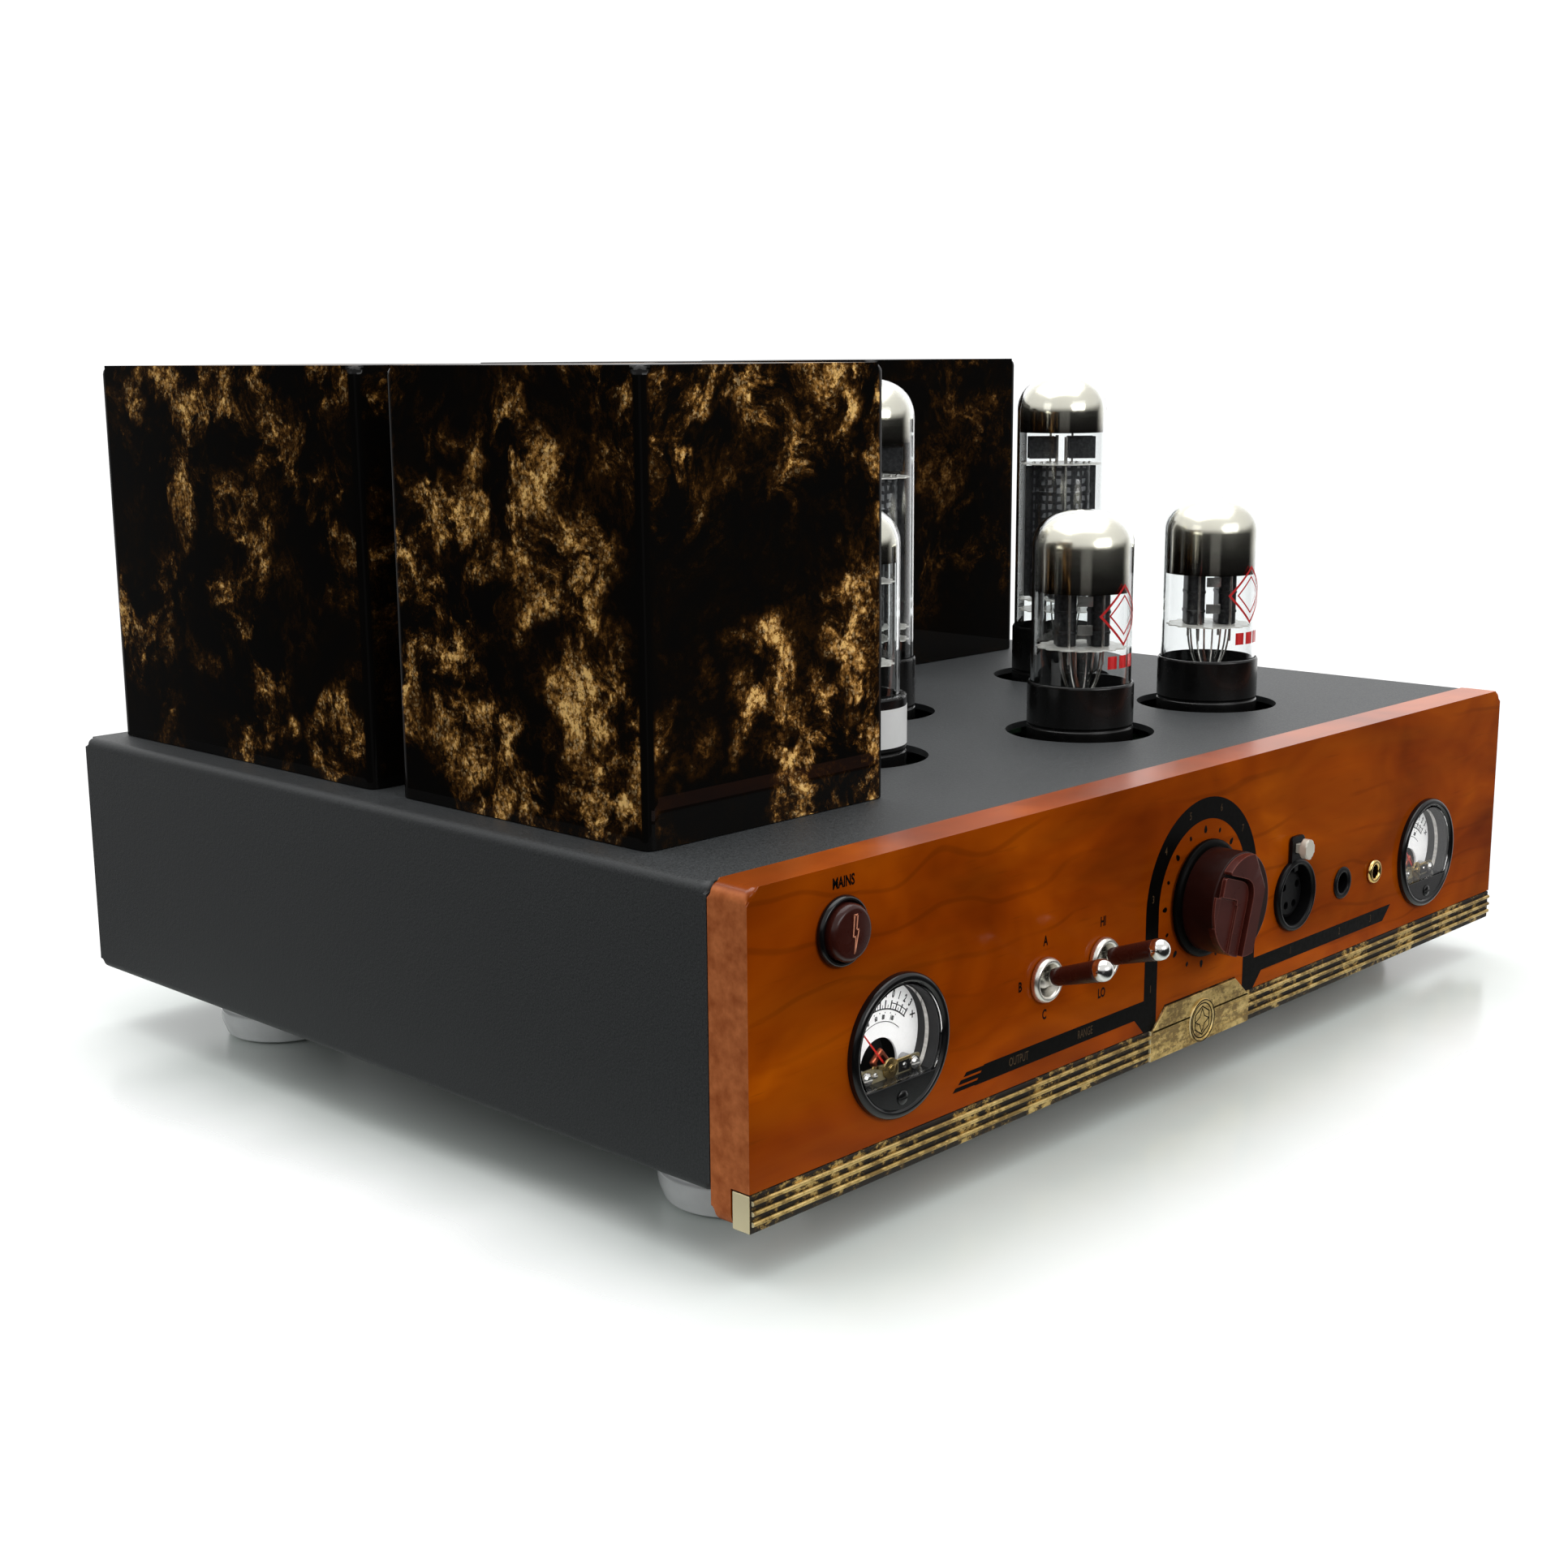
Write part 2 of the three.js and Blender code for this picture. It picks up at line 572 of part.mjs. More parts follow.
function volumeShaft() {
  return barY(SHAFT.radius, SHAFT.front, 20, 16);
}

function volumePot() {
  const bushing = barY(KNOB.bushing, 3, 16, 20);
  const can = barY(12, 15, 30, 24);
  const bore = barY(SHAFT.radius + GAP, 2, 21, 16);
  return carve(fuse(bushing, can), bore);
}

// ---- Headphone sockets ----------------------------------------------------------------------------

/** Round locking socket: flange with a lug above it, recessed insert with four contact holes. */
function roundSocket() {
  const { body, flange } = ROUND_SOCKET;
  const shell = turnedY([
    [0, 26], [body, 26], [body, -GAP], [flange, -GAP], [flange, -1.4], [flange - 0.6, -2],
    [9.4, -2], [9.4, 12], [0, 12],
  ].reverse(), 28);
  const insert = barY(7.6, 0.6, 13, 20);
  const lug = slabY([
    [-LUG.half, LUG.low], [LUG.half, LUG.low], [LUG.half, LUG.high - 1.5], [LUG.half - 1.5, LUG.high],
    [1.5 - LUG.half, LUG.high], [-LUG.half, LUG.high - 1.5],
  ], LUG.front, -GAP);
  const stemHalf = TAB.stem + GAP;
  const stemHole = block(
    [-stemHalf, stemHalf],
    [LUG.front - 1, 1],
    [TAB.rise - stemHalf, TAB.rise + stemHalf],
  );
  const contacts = [[-3.9, 2.6], [3.9, 2.6], [-2.3, -3.4], [2.3, -3.4]].map(([x, z]) => (
    barY(1.2, -1, 11, 8, x, z)));
  return carve(fuse(shell, insert, lug), stemHole, ...contacts);
}

/** Push tab of the locking socket, above its flange, on a stem that slides in the panel. */
function socketTab() {
  const { width, height, rise, stem, front, back } = TAB;
  const outline = roundedRectangle(width, height, 2.4, 4).map(([x, z]) => [x, z + rise]);
  const guide = block([-stem, stem], [back - 0.6, 9], [rise - stem, rise + stem]);
  return fuse(slabY(outline, front, back, 0.5, 2), guide);
}

function jack({ barrel, bore, ring, proud }) {
  return turnedY([
    [0, 28], [barrel, 28], [barrel, -GAP], [ring, -GAP], [ring, -proud], [bore, -proud], [bore, 25], [0, 25],
  ].reverse(), 20);
}

// ---- Rear connectors ------------------------------------------------------------------------------

/** Mains inlet: a shroud with three contact blades in its recess. */
function mainsInlet() {
  const { width, height } = INLET;
  const body = block([-width / 2, width / 2], [-26, 1], [-height / 2, height / 2]);
  const flange = block([-width / 2 - 10, width / 2 + 10], [GAP, 3], [-height / 2 - 1.5, height / 2 + 1.5]);
  const recess = slabY([
    [-12, -8], [12, -8], [12, 3.5], [7.5, 8], [-7.5, 8], [-12, 3.5],
  ], -17, 5);
  const blades = [[-7, -1], [0, 3], [7, -1]].map(([x, z]) => (
    block([x - 1, x + 1], [-18, -1], [z - 2.5, z + 2.5])));
  return fuse(carve(fuse(body, flange), recess), ...blades);
}

/** Pair of phono input sockets on one moulded plate. */
function inputSockets() {
  const plate = block([-23, 23], [-4, -CHASSIS.wall - GAP], [-11, 11]);
  const places = [-0.5, 0.5].map((side) => side * INPUTS.spacing);
  const barrels = places.map((x) => turnedY([
    [0, -14], [5, -14], [5, GAP], [6.2, GAP], [6.2, 1.8], [4.15, 1.8], [4.15, REAR_REACH], [0, REAR_REACH],
  ], 14).translate(x, 0, 0));
  const bores = places.map((x) => barY(1.7, -8, REAR_REACH + 1, 8, x));
  return carve(fuse(plate, ...barrels), ...bores);
}

// ---- Assembly -----------------------------------------------------------------------------------

const body = station(0, 0, 0);
piece(body, 'chassis_shell', chassisShell(), MATERIALS.powderCoat);
piece(body, 'bottom_plate', bottomPlate(), MATERIALS.powderCoat);
piece(body, 'front_panel', frontPanel(), MATERIALS.cherry);
piece(body, 'brass_trim', brassTrim(), MATERIALS.brass);
piece(body, 'circuit_board', circuitBoard(), MATERIALS.board);
for (const [side, x] of [['left', -FOOT.x], ['right', FOOT.x]]) {
  FOOT.fromFront.forEach((y, row) => {
    piece(body, `foot_${row ? 'rear' : 'front'}_${side}`, foot(), MATERIALS.aluminium, [x, y, 0]);
  });
}

for (const [name, { x, y }] of Object.entries(COVERS)) {
  const group = station((x[0] + x[1]) / 2, (y[0] + y[1]) / 2, CHASSIS.top);
  piece(group, `cover_${name}`, cover({ x, y }), MATERIALS.resin);
  const core = name === 'choke' ? 'filter_choke' : `${name}_transformer`;
  piece(group, core, transformer({ x, y }), MATERIALS.lamination);
}

for (const [name, tube] of Object.entries(TUBES)) {
  const group = station(tube.x, tube.y, CHASSIS.top);
  piece(group, `${name}_glass`, tubeGlass(tube), MATERIALS.glass);
  piece(group, `${name}_base`, tubeBase(tube), MATERIALS.tubeBase);
  piece(group, `${name}_electrodes`, electrodes(tube), MATERIALS.anode);
  piece(group, `${name}_socket`, tubeSocket(), MATERIALS.ceramic);
}

for (const [side, x] of [['left', -METER.x], ['right', METER.x]]) {
  const group = station(x, 0, METER.z);
  piece(group, `meter_housing_${side}`, meterHousing(), MATERIALS.blackPlastic);
  piece(group, `meter_dial_${side}`, meterDial(), MATERIALS.dialWhite);
  const pivot = [0, DIAL_DEPTH - 4.6, -METER.pivotDrop];
  piece(group, `meter_needle_${side}`, meterNeedle(), MATERIALS.needleRed, pivot);
  piece(group, `meter_window_${side}`, meterWindow(), MATERIALS.glass);
}

for (const [side, x] of Object.entries(TOGGLES)) {
  const group = station(x, 0, TOGGLE.z);
  piece(group, `toggle_body_${side}`, toggleBody(), MATERIALS.chrome);
  piece(group, `toggle_lever_${side}`, toggleLever(), MATERIALS.bakelite, [0, TOGGLE.pivot, 0]);
}

const button = station(BUTTON.x, 0, BUTTON.z);
piece(button, 'power_bezel', buttonBezel(), MATERIALS.blackPlastic);
piece(button, 'power_button', buttonCap(), MATERIALS.bakelite);

const volume = station(0, 0, KNOB.z);
piece(volume, 'volume_knob', volumeKnob(), MATERIALS.bakelite);
piece(volume, 'volume_shaft', volumeShaft(), MATERIALS.steel);
piece(volume, 'volume_potentiometer', volumePot(), MATERIALS.steel);

const socket = station(ROUND_SOCKET.x, 0, ROUND_SOCKET.z);
piece(socket, 'locking_socket', roundSocket(), MATERIALS.blackPlastic);
piece(socket, 'locking_socket_tab', socketTab(), MATERIALS.chrome);
piece(station(JACK_LARGE.x, 0, JACK_LARGE.z), 'large_jack', jack(JACK_LARGE), MATERIALS.blackPlastic);
piece(station(JACK_SMALL.x, 0, JACK_SMALL.z), 'small_jack', jack(JACK_SMALL), MATERIALS.gold);

piece(station(INLET.x, chassisRear, INLET.z), 'mains_inlet', mainsInlet(), MATERIALS.blackPlastic);
piece(station(INPUTS.x, chassisRear, INPUTS.z), 'input_sockets', inputSockets(), MATERIALS.gold);

export default amplifier;
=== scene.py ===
"""Looks of the tube amplifier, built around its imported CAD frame.

Lengths in this file are millimetres; the mesh helpers and place() turn them into Blender's metres.
Each sub-part is modelled round a local origin on its own axis and placed from the frame's boxes.
"""
import math

import bmesh
import bpy
from mathutils import Matrix, Vector


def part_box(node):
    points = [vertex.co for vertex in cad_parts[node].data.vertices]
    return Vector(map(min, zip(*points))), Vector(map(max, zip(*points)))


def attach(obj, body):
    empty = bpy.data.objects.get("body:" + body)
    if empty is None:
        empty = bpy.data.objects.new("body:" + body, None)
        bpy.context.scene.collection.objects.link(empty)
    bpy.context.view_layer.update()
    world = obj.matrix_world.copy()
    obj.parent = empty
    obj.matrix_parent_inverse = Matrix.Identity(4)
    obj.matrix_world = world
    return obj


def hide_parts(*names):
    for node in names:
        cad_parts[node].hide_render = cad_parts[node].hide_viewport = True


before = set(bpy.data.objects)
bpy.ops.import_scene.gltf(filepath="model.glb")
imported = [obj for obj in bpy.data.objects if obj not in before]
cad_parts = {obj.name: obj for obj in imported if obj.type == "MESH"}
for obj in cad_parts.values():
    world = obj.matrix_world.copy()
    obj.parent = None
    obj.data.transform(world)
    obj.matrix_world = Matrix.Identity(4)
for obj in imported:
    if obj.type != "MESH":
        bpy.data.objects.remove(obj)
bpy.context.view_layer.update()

MM = 0.001
VIEW_ANGLES = (46.602, 11.525, -0.361)  # turn, downward pitch and roll of the camera, degrees
CAMERA = (-515.5, -459.6, 212.1)
LENS = 48.32
scene = bpy.context.scene


# ---- Places from the frame ----------------------------------------------------------------------

def limits(node):
    """Lowest and highest corners of a CAD node, in millimetres."""
    low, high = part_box(node)
    return low / MM, high / MM


def centre(node):
    low, high = limits(node)
    return (low + high) / 2


def on_face(node):
    """The point of the panel's face in front of a CAD node."""
    where = centre(node)
    return Vector((where.x, FACE, where.z))


PANEL_LOW, PANEL_HIGH = limits("front_panel")
FACE = PANEL_LOW.y  # the front panel's face
CASE_LOW, CASE_HIGH = limits("chassis_shell")
DECK = CASE_HIGH.z  # the chassis's top face
REAR = CASE_HIGH.y
WALL = 2.0
TUBES = {
    "driver_left": "driver", "driver_right": "driver", "power_left": "power", "power_right": "power",
    "rectifier": "rectifier",
}
TUBE_HOLE = 23.5
PANEL_HOLES = {  # node in the hole: radius of the hole
    "power_bezel": 7.9, "meter_housing_left": 17.3, "meter_housing_right": 17.3, "toggle_body_left": 5.3,
    "toggle_body_right": 5.3, "volume_shaft": 5.1, "large_jack": 4.7, "small_jack": 3.7,
}
SOCKET_PLACE = Vector((51.3, 0, 47.5))
TAB_RISE = 15.0
STRIP_TOP = 22.1
CREST_TOP = 27.9
SOCKET_HOLE = 11.2
INPUT_HOLE = 5.4
PRINT = 0.03  # how far prints stand proud of a surface
SUNK = 0.02  # how far they reach below it
BAND_PROUD = 0.04  # the knob's arch lies over the stripes
FONT_SIZE = 1.38  # font size that gives capitals a height of 1
KNOB_REST, KNOB_SLOPE = 17, 34  # degrees
LEVER_REST, NEEDLE_REST, ELECTRODE_TURN = -18, -40, -44
PIN_CIRCLE, PIN_COUNT = 8.72, 8
EMBLEM_RISE = 6.8
ORIGIN = (0, 0, 0)
FLOOR_REACH = 0.75  # metres


# ---- Mesh helpers -------------------------------------------------------------------------------

def polar(radius, degrees):
    """A point at an angle counterclockwise from the first axis."""
    turn = math.radians(degrees)
    return radius * math.cos(turn), radius * math.sin(turn)


def clock(radius, degrees):
    """A point at an angle clockwise from the top, as seen from the front."""
    turn = math.radians(degrees)
    return radius * math.sin(turn), radius * math.cos(turn)


def arc(radius, start, end, steps):
    return [polar(radius, start + (end - start) * i / steps) for i in range(steps + 1)]


def rectangle(low_u, low_v, high_u, high_v, low_radius=0, high_radius=None):
    """Corners of a rectangle; the lower and upper pair may have corner radii of their own."""
    top = low_radius if high_radius is None else high_radius
    return [(low_u, low_v, low_radius), (high_u, low_v, low_radius), (high_u, high_v, top),
            (low_u, high_v, top)]


def shade(obj, angle=35):
    """Smooth shading, with sharp edges where faces meet at more than the angle."""
    mesh = obj.data
    mesh.polygons.foreach_set("use_smooth", [True] * len(mesh.polygons))
    mesh.set_sharp_from_angle(angle=math.radians(angle))
    return obj


def linked(name, data):
    obj = bpy.data.objects.new(name, data)
    scene.collection.objects.link(obj)
    return obj


def object_from(name, bm):
    bmesh.ops.recalc_face_normals(bm, faces=bm.faces[:])
    mesh = bpy.data.meshes.new(name)
    bm.to_mesh(mesh)
    bm.free()
    return shade(linked(name, mesh))


def bezier_corner(before, corner, after, radius, steps):
    """Points that round one corner of a polyline with about the given radius."""
    a, b = before - corner, after - corner
    reach = min(radius, a.length * 0.49, b.length * 0.49)
    start, end = corner + a.normalized() * reach, corner + b.normalized() * reach
    return [start * (1 - t) ** 2 + corner * 2 * t * (1 - t) + end * t * t
            for t in (i / steps for i in range(steps + 1))]


def rounded(points, steps=4, closed=False):
    """A polyline of (u, v) or (u, v, radius) points, with each corner rounded by its radius."""
    count = len(points)
    result = []
    for i, point in enumerate(points):
        here = Vector(point[:2])
        radius = point[2] if len(point) > 2 else 0
        if radius <= 0 or (not closed and i in (0, count - 1)):
            result.append(here)
            continue
        before, after = Vector(points[i - 1][:2]), Vector(points[(i + 1) % count][:2])
        result += bezier_corner(before, here, after, radius, steps)
    return result


def vertex(bm, axis, along, u, v):
    """A vertex at (u, v) across an axis, Y or Z, and at a depth along it."""
    return bm.verts.new((u * MM, along * MM, v * MM) if axis == "Y" else (u * MM, v * MM, along * MM))


def lathe(name, profile, segments=64, axis="Z"):
    """Turns a profile of (radius, height[, corner radius]) points round an axis."""
    closed = tuple(profile[0][:2]) == tuple(profile[-1][:2])
    bm = bmesh.new()
    rings = []
    for radius, height in rounded(profile[:-1] if closed else profile, closed=closed):
        turns = [polar(radius, 360 * i / segments) for i in range(segments)] if radius >= 1e-4 else [(0, 0)]
        rings.append([vertex(bm, axis, height, u, v) for u, v in turns])
    pairs = list(zip(rings, rings[1:]))
    if closed:
        pairs.append((rings[-1], rings[0]))
    for low, high in pairs:
        if len(low) == 1 and len(high) == 1:
            continue
        for i in range(segments):
            j = (i + 1) % segments
            if len(low) == 1:
                bm.faces.new((low[0], high[j], high[i]))
            elif len(high) == 1:
                bm.faces.new((low[i], low[j], high[0]))
            else:
                bm.faces.new((low[i], low[j], high[j], high[i]))
    return object_from(name, bm)


def prism(name, outline, low, high, axis="Y", edge=0.0, steps=3, corner_steps=4):
    """An outline of (u, v[, corner radius]) points between two depths, with rounded rims."""
    points = rounded(outline, corner_steps, closed=True)
    bm = bmesh.new()
    near, far = ([vertex(bm, axis, depth, u, v) for u, v in points] for depth in (low, high))
    caps = [bm.faces.new(near), bm.faces.new(list(reversed(far)))]
    for i in range(len(points)):
        j = (i + 1) % len(points)
        bm.faces.new((near[i], far[i], far[j], near[j]))
    if edge > 0:
        rims = {e for cap in caps for e in cap.edges}
        bmesh.ops.bevel(bm, geom=list(rims), offset=edge * MM, segments=steps, profile=0.5, affect="EDGES")
    return object_from(name, bm)


def rounded_box(name, low, high, radius=0.5):
    """A box between two corners with all edges rounded."""
    bm = bmesh.new()
    bmesh.ops.create_cube(bm, size=1)
    low, high = Vector(low) * MM, Vector(high) * MM
    for v in bm.verts:
        v.co = Vector(low[i] if v.co[i] < 0 else high[i] for i in range(3))
    if radius > 0:
        bmesh.ops.bevel(bm, geom=bm.edges[:], offset=radius * MM, segments=3, profile=0.5, affect="EDGES")
    return object_from(name, bm)


def shifted(obj, x=0.0, y=0.0, z=0.0):
    obj.data.transform(Matrix.Translation(Vector((x, y, z)) * MM))
    return obj


def turned(obj, degrees, axis):
    obj.data.transform(Matrix.Rotation(math.radians(degrees), 4, axis))
    return obj


def bar(name, radius, low, high, axis="Y", at=(0, 0), segments=48):
    """A plain round bar between two depths; used for holes, pins and wires."""
    obj = lathe(name, [(0, low), (radius, low), (radius, high), (0, high)], segments,
                "Z" if axis == "Z" else "Y")
    if axis == "X":
        turned(obj, -90, "Z")
    u, v = at
    return shifted(obj, *{"X": (0, u, v), "Y": (u, 0, v), "Z": (u, v, 0)}[axis])


def to_mesh(obj):
    """The object with its modifiers or curve made into a plain mesh."""
    bpy.context.view_layer.update()
    mesh = bpy.data.meshes.new_from_object(obj.evaluated_get(bpy.context.evaluated_depsgraph_get()))
    name = mesh.name = obj.name
    if obj.type == "MESH":
        obj.modifiers.clear()
        obj.data = mesh
        return obj
    bpy.data.objects.remove(obj)
    return linked(name, mesh)


def wire(name, points, radius, cyclic=False):
    """A round wire through points, smooth at the bends."""
    curve = bpy.data.curves.new(name, "CURVE")
    curve.dimensions = "3D"
    curve.bevel_depth = radius * MM
    curve.bevel_resolution = 2
    curve.resolution_u = 6
    curve.use_fill_caps = True
    spline = curve.splines.new("BEZIER")
    spline.bezier_points.add(len(points) - 1)
    for knot, point in zip(spline.bezier_points, points):
        knot.co = Vector(point) * MM
        knot.handle_left_type = knot.handle_right_type = "AUTO"
    spline.use_cyclic_u = cyclic
    return to_mesh(linked(name, curve))


def lettering(name, text, height, width, weight=0.0):
    """Raised letters on a plane that faces -Y, centred on the origin."""
    curve = bpy.data.curves.new(name, "FONT")
    curve.body = text
    curve.size = height * MM * FONT_SIZE
    curve.align_x = curve.align_y = "CENTER"
    curve.extrude = PRINT * MM
    curve.offset = weight * MM
    curve.resolution_u = 3
    obj = to_mesh(linked(name, curve))
    obj.data.transform(Matrix.Rotation(math.radians(90), 4, "X") @ Matrix.Diagonal((width, 1, 1, 1)))
    return obj


def split_faces(obj):
    """Many-sided faces become triangles, which booleans cut and bevels follow without fault."""
    bm = bmesh.new()
    bm.from_mesh(obj.data)
    bmesh.ops.triangulate(bm, faces=bm.faces[:])
    bm.to_mesh(obj.data)
    bm.free()


def combine(target, tools, operation="DIFFERENCE"):
    for obj in (target, *tools):
        split_faces(obj)
    for tool in tools:
        modifier = target.modifiers.new(operation.lower(), "BOOLEAN")
        modifier.object = tool
        modifier.operation = operation
        modifier.solver = "MANIFOLD"
    to_mesh(target)
    for tool in tools:
        bpy.data.objects.remove(tool)
    return shade(target)


def cut(target, *tools):
    return combine(target, tools)


def keep(target, tool):
    return combine(target, [tool], "INTERSECT")


def soften(obj, width, segments=2, angle=40):
    """Rounds the sharp edges of a finished mesh."""
    modifier = obj.modifiers.new("soften", "BEVEL")
    modifier.width = width * MM
    modifier.segments = segments
    modifier.limit_method = "ANGLE"
    modifier.angle_limit = math.radians(angle)
    return shade(to_mesh(obj))


def together(name, objects):
    """Several meshes as one object; each keeps its material."""
    bm = bmesh.new()
    materials = []
    for obj in objects:
        start = len(bm.faces)
        bm.from_mesh(obj.data)
        bm.faces.ensure_lookup_table()
        slots = list(obj.data.materials) or [None]
        materials += [slot for slot in slots if slot not in materials]
        for face in bm.faces[start:]:
            face.material_index = materials.index(slots[min(face.material_index, len(slots) - 1)])
    mesh = bpy.data.meshes.new(name)
    bm.to_mesh(mesh)
    bm.free()
    for material in materials:
        mesh.materials.append(material)
    for obj in objects:
        bpy.data.objects.remove(obj)
    return shade(linked(name, mesh))


def screw(name, radius, height, slot_width, cross=False):
    """A domed screw head that faces -Y, its seat at y = 0."""
    head = lathe(name, [(0, 0), (radius, 0), (radius, -height * 0.45, height * 0.3),
                        (radius * 0.6, -height),
                        (0, -height)], 32, "Y")
    reach = radius * (0.62 if cross else 1.2)
    corners = (-reach, -height * 1.4, -slot_width / 2), (reach, -height * 0.55, slot_width / 2)
    return cut(head, *[turned(rounded_box("blade", *corners, 0), turn,
                              "Y") for turn in ((0, 90) if cross else (0,))])


def ring_line(name, inner, outer, depth, start=0.0, end=360.0, steps=72, low=-0.03):
    """A flat printed arc on a plane that faces -Y. Angles are degrees clockwise from the top."""
    bm = bmesh.new()
    layers = [[[vertex(bm, "Y", y,
                       *clock(radius, start + (end - start) * i / steps)) for i in range(steps + 1)]
               for radius in (inner, outer)] for y in (low, depth)]
    bottom, top = layers
    for i in range(steps):
        for front in layers:
            bm.faces.new((front[0][i], front[0][i + 1], front[1][i + 1], front[1][i]))
        for row in (0, 1):
            bm.faces.new((bottom[row][i], bottom[row][i + 1], top[row][i + 1], top[row][i]))
    if abs(end - start) < 360:
        for i in (0, steps):
            bm.faces.new((bottom[0][i], bottom[1][i], top[1][i], top[0][i]))
    bmesh.ops.remove_doubles(bm, verts=bm.verts[:], dist=1e-7)
    return object_from(name, bm)


def stroke(name, points, width, proud, sunk=0.0, closed=False):
    """A printed line of even width through points on a plane that faces -Y."""
    spots = [Vector(p) for p in points]
    if closed:
        spots.append(spots[0])
    pieces = []
    for a, b in zip(spots, spots[1:]):
        along = (b - a).normalized() * width / 2
        side = Vector((-along.y, along.x))
        corners = [a - along + side, b + along + side, b + along - side, a - along - side]
        pieces.append(prism(name, corners, -proud, sunk))
    return together(name, pieces)


def paint(obj, finish):
    obj.data.materials.clear()
    obj.data.materials.append(FINISH[finish])
    return obj


def paint_all(finish, *objects):
    return [paint(obj, finish) for obj in objects]


def place(obj, body, slot, at=(0, 0, 0), *stands_for):
    """Puts a finished piece at a point of the frame, ties it to its body and hides the CAD nodes that it
    stands for; the slot is not used.
    """
    obj.modifiers.new("even_shading", "WEIGHTED_NORMAL").keep_sharp = True
    obj.location = Vector(at) * MM
    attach(obj, body)
    if stands_for:
        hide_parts(*stands_for)
    return obj


# ---- Material helpers ---------------------------------------------------------------------------

SHADER_INPUTS = {
    "color": "Base Color", "roughness": "Roughness", "metallic": "Metallic", "normal": "Normal",
    "coat": "Coat Weight", "coat_roughness": "Coat Roughness", "coat_normal": "Coat Normal",
    "specular": "Specular IOR Level", "ior": "IOR", "transmission": "Transmission Weight",
    "alpha": "Alpha", "emission": "Emission Color", "glow": "Emission Strength",
}


FINISH = {}  # every material by its name, filled as they are made


class Nodes:
    """The node tree of a new material, or of a given owner, with short calls for what the looks use."""

    def __init__(self, name, owner=None):
        self.owner = owner or FINISH.setdefault(name, bpy.data.materials.new(name))
        self.owner.use_nodes = True
        self.tree = self.owner.node_tree
        self.shader = self.tree.nodes.get("Principled BSDF")

    def add(self, kind, inputs=None, **properties):
        node = self.tree.nodes.new("ShaderNode" + kind)
        for key, value in properties.items():
            setattr(node, key, value)
        for key, value in (inputs or {}).items():
            self.feed(node.inputs[key], value)
        return node

    def feed(self, socket, value):
        if isinstance(value, bpy.types.NodeSocket):
            self.tree.links.new(value, socket)
        elif hasattr(socket.default_value,
                     "__len__") and len(socket.default_value) == 4 and len(value) == 3:
            socket.default_value = (*value, 1)
        else:
            socket.default_value = value

    def set(self, **values):
        for key, value in values.items():
            self.feed(self.shader.inputs[SHADER_INPUTS[key]], value)
        return self.owner

    def place(self, scale=(1, 1, 1), shift=(0, 0, 0)):
        """Coordinates in metres on the piece, stretched and moved."""
        where = self.add("TexCoord").outputs["Object"]
        return self.add("Mapping", {"Vector": where, "Scale": scale, "Location": shift}).outputs["Vector"]

    def noise(self, vector, scale, detail=3.0, roughness=0.5, distortion=0.0, output="Fac"):
        return self.add("TexNoise", {
            "Vector": vector, "Scale": scale, "Detail": detail, "Roughness": roughness,
            "Distortion": distortion,
        }).outputs[output]

    def cells(self, vector, scale, feature="F1", randomness=1.0, output="Distance"):
        inputs = {"Vector": vector, "Scale": scale, "Randomness": randomness}
        return self.add("TexVoronoi", inputs, feature=feature).outputs[output]

    def ramp(self, value, stops):
        node = self.add("ValToRGB", {"Fac": value})
        elements = node.color_ramp.elements
        while len(elements) < len(stops):
            elements.new(0.5)
        for element, (position, color) in zip(elements, stops):
            element.position = position
            element.color = (*color, 1)
        return node.outputs["Color"]

    def between(self, value, dark, light):
        """Two shades over the middle of a value's range."""
        return self.ramp(value, [(0.3, dark), (0.7, light)])

    def mix(self, amount, first, second, blend="MIX"):
        inputs = {"Factor": amount, 6: first, 7: second}
        return self.add("Mix", inputs, data_type="RGBA", blend_type=blend).outputs[2]

    def math(self, operation, first, second=0.5, clamp=False):
        return self.add("Math", {0: first, 1: second}, operation=operation, use_clamp=clamp).outputs[0]

    def times(self, first, *others, clamp=False):
        for other in others:
            first = self.math("MULTIPLY", first, other, clamp and other is others[-1])
        return first

    def vector(self, operation, first, second=(0, 0, 0)):
        key = 3 if operation == "SCALE" else 1
        return self.add("VectorMath", {0: first, key: second}, operation=operation).outputs

    def span(self, value, low, high, to_low=0.0, to_high=1.0, smooth=True):
        """Value from low..high brought to to_low..to_high."""
        return self.add("MapRange", {
            "Value": value, "From Min": low, "From Max": high, "To Min": to_low, "To Max": to_high,
        }, interpolation_type="SMOOTHSTEP" if smooth else "LINEAR").outputs["Result"]

    def split(self, vector):
        return self.add("SeparateXYZ", {"Vector": vector}).outputs

    def facing(self):
        return self.split(self.add("NewGeometry").outputs["Normal"])

    def warp(self, vector, amount, *noise):
        """Moves coordinates by a coloured noise."""
        centred = self.vector("SUBTRACT", self.noise(*noise, output="Color"), (0.5, 0.5, 0.5))[0]
        return self.vector("ADD", vector, self.vector("SCALE", centred, amount)[0])[0]

    def bump(self, height, strength, distance=0.001, normal=None):
        inputs = {"Height": height, "Strength": strength, "Distance": distance}
        if normal is not None:
            inputs["Normal"] = normal
        return self.add("Bump", inputs).outputs["Normal"]

    def see_through(self, amount, tint=(1, 1, 1)):
        """Lets light straight through by an amount."""
        blend = self.add("MixShader", {"Fac": amount})
        through = self.add("BsdfTransparent", {"Color": tint})
        for shader, socket in ((self.shader, blend.inputs[1]), (through, blend.inputs[2]),
                               (blend, self.tree.nodes["Material Output"].inputs["Surface"])):
            self.tree.links.new(shader.outputs[0], socket)
        return self.owner


# ---- Materials ----------------------------------------------------------------------------------

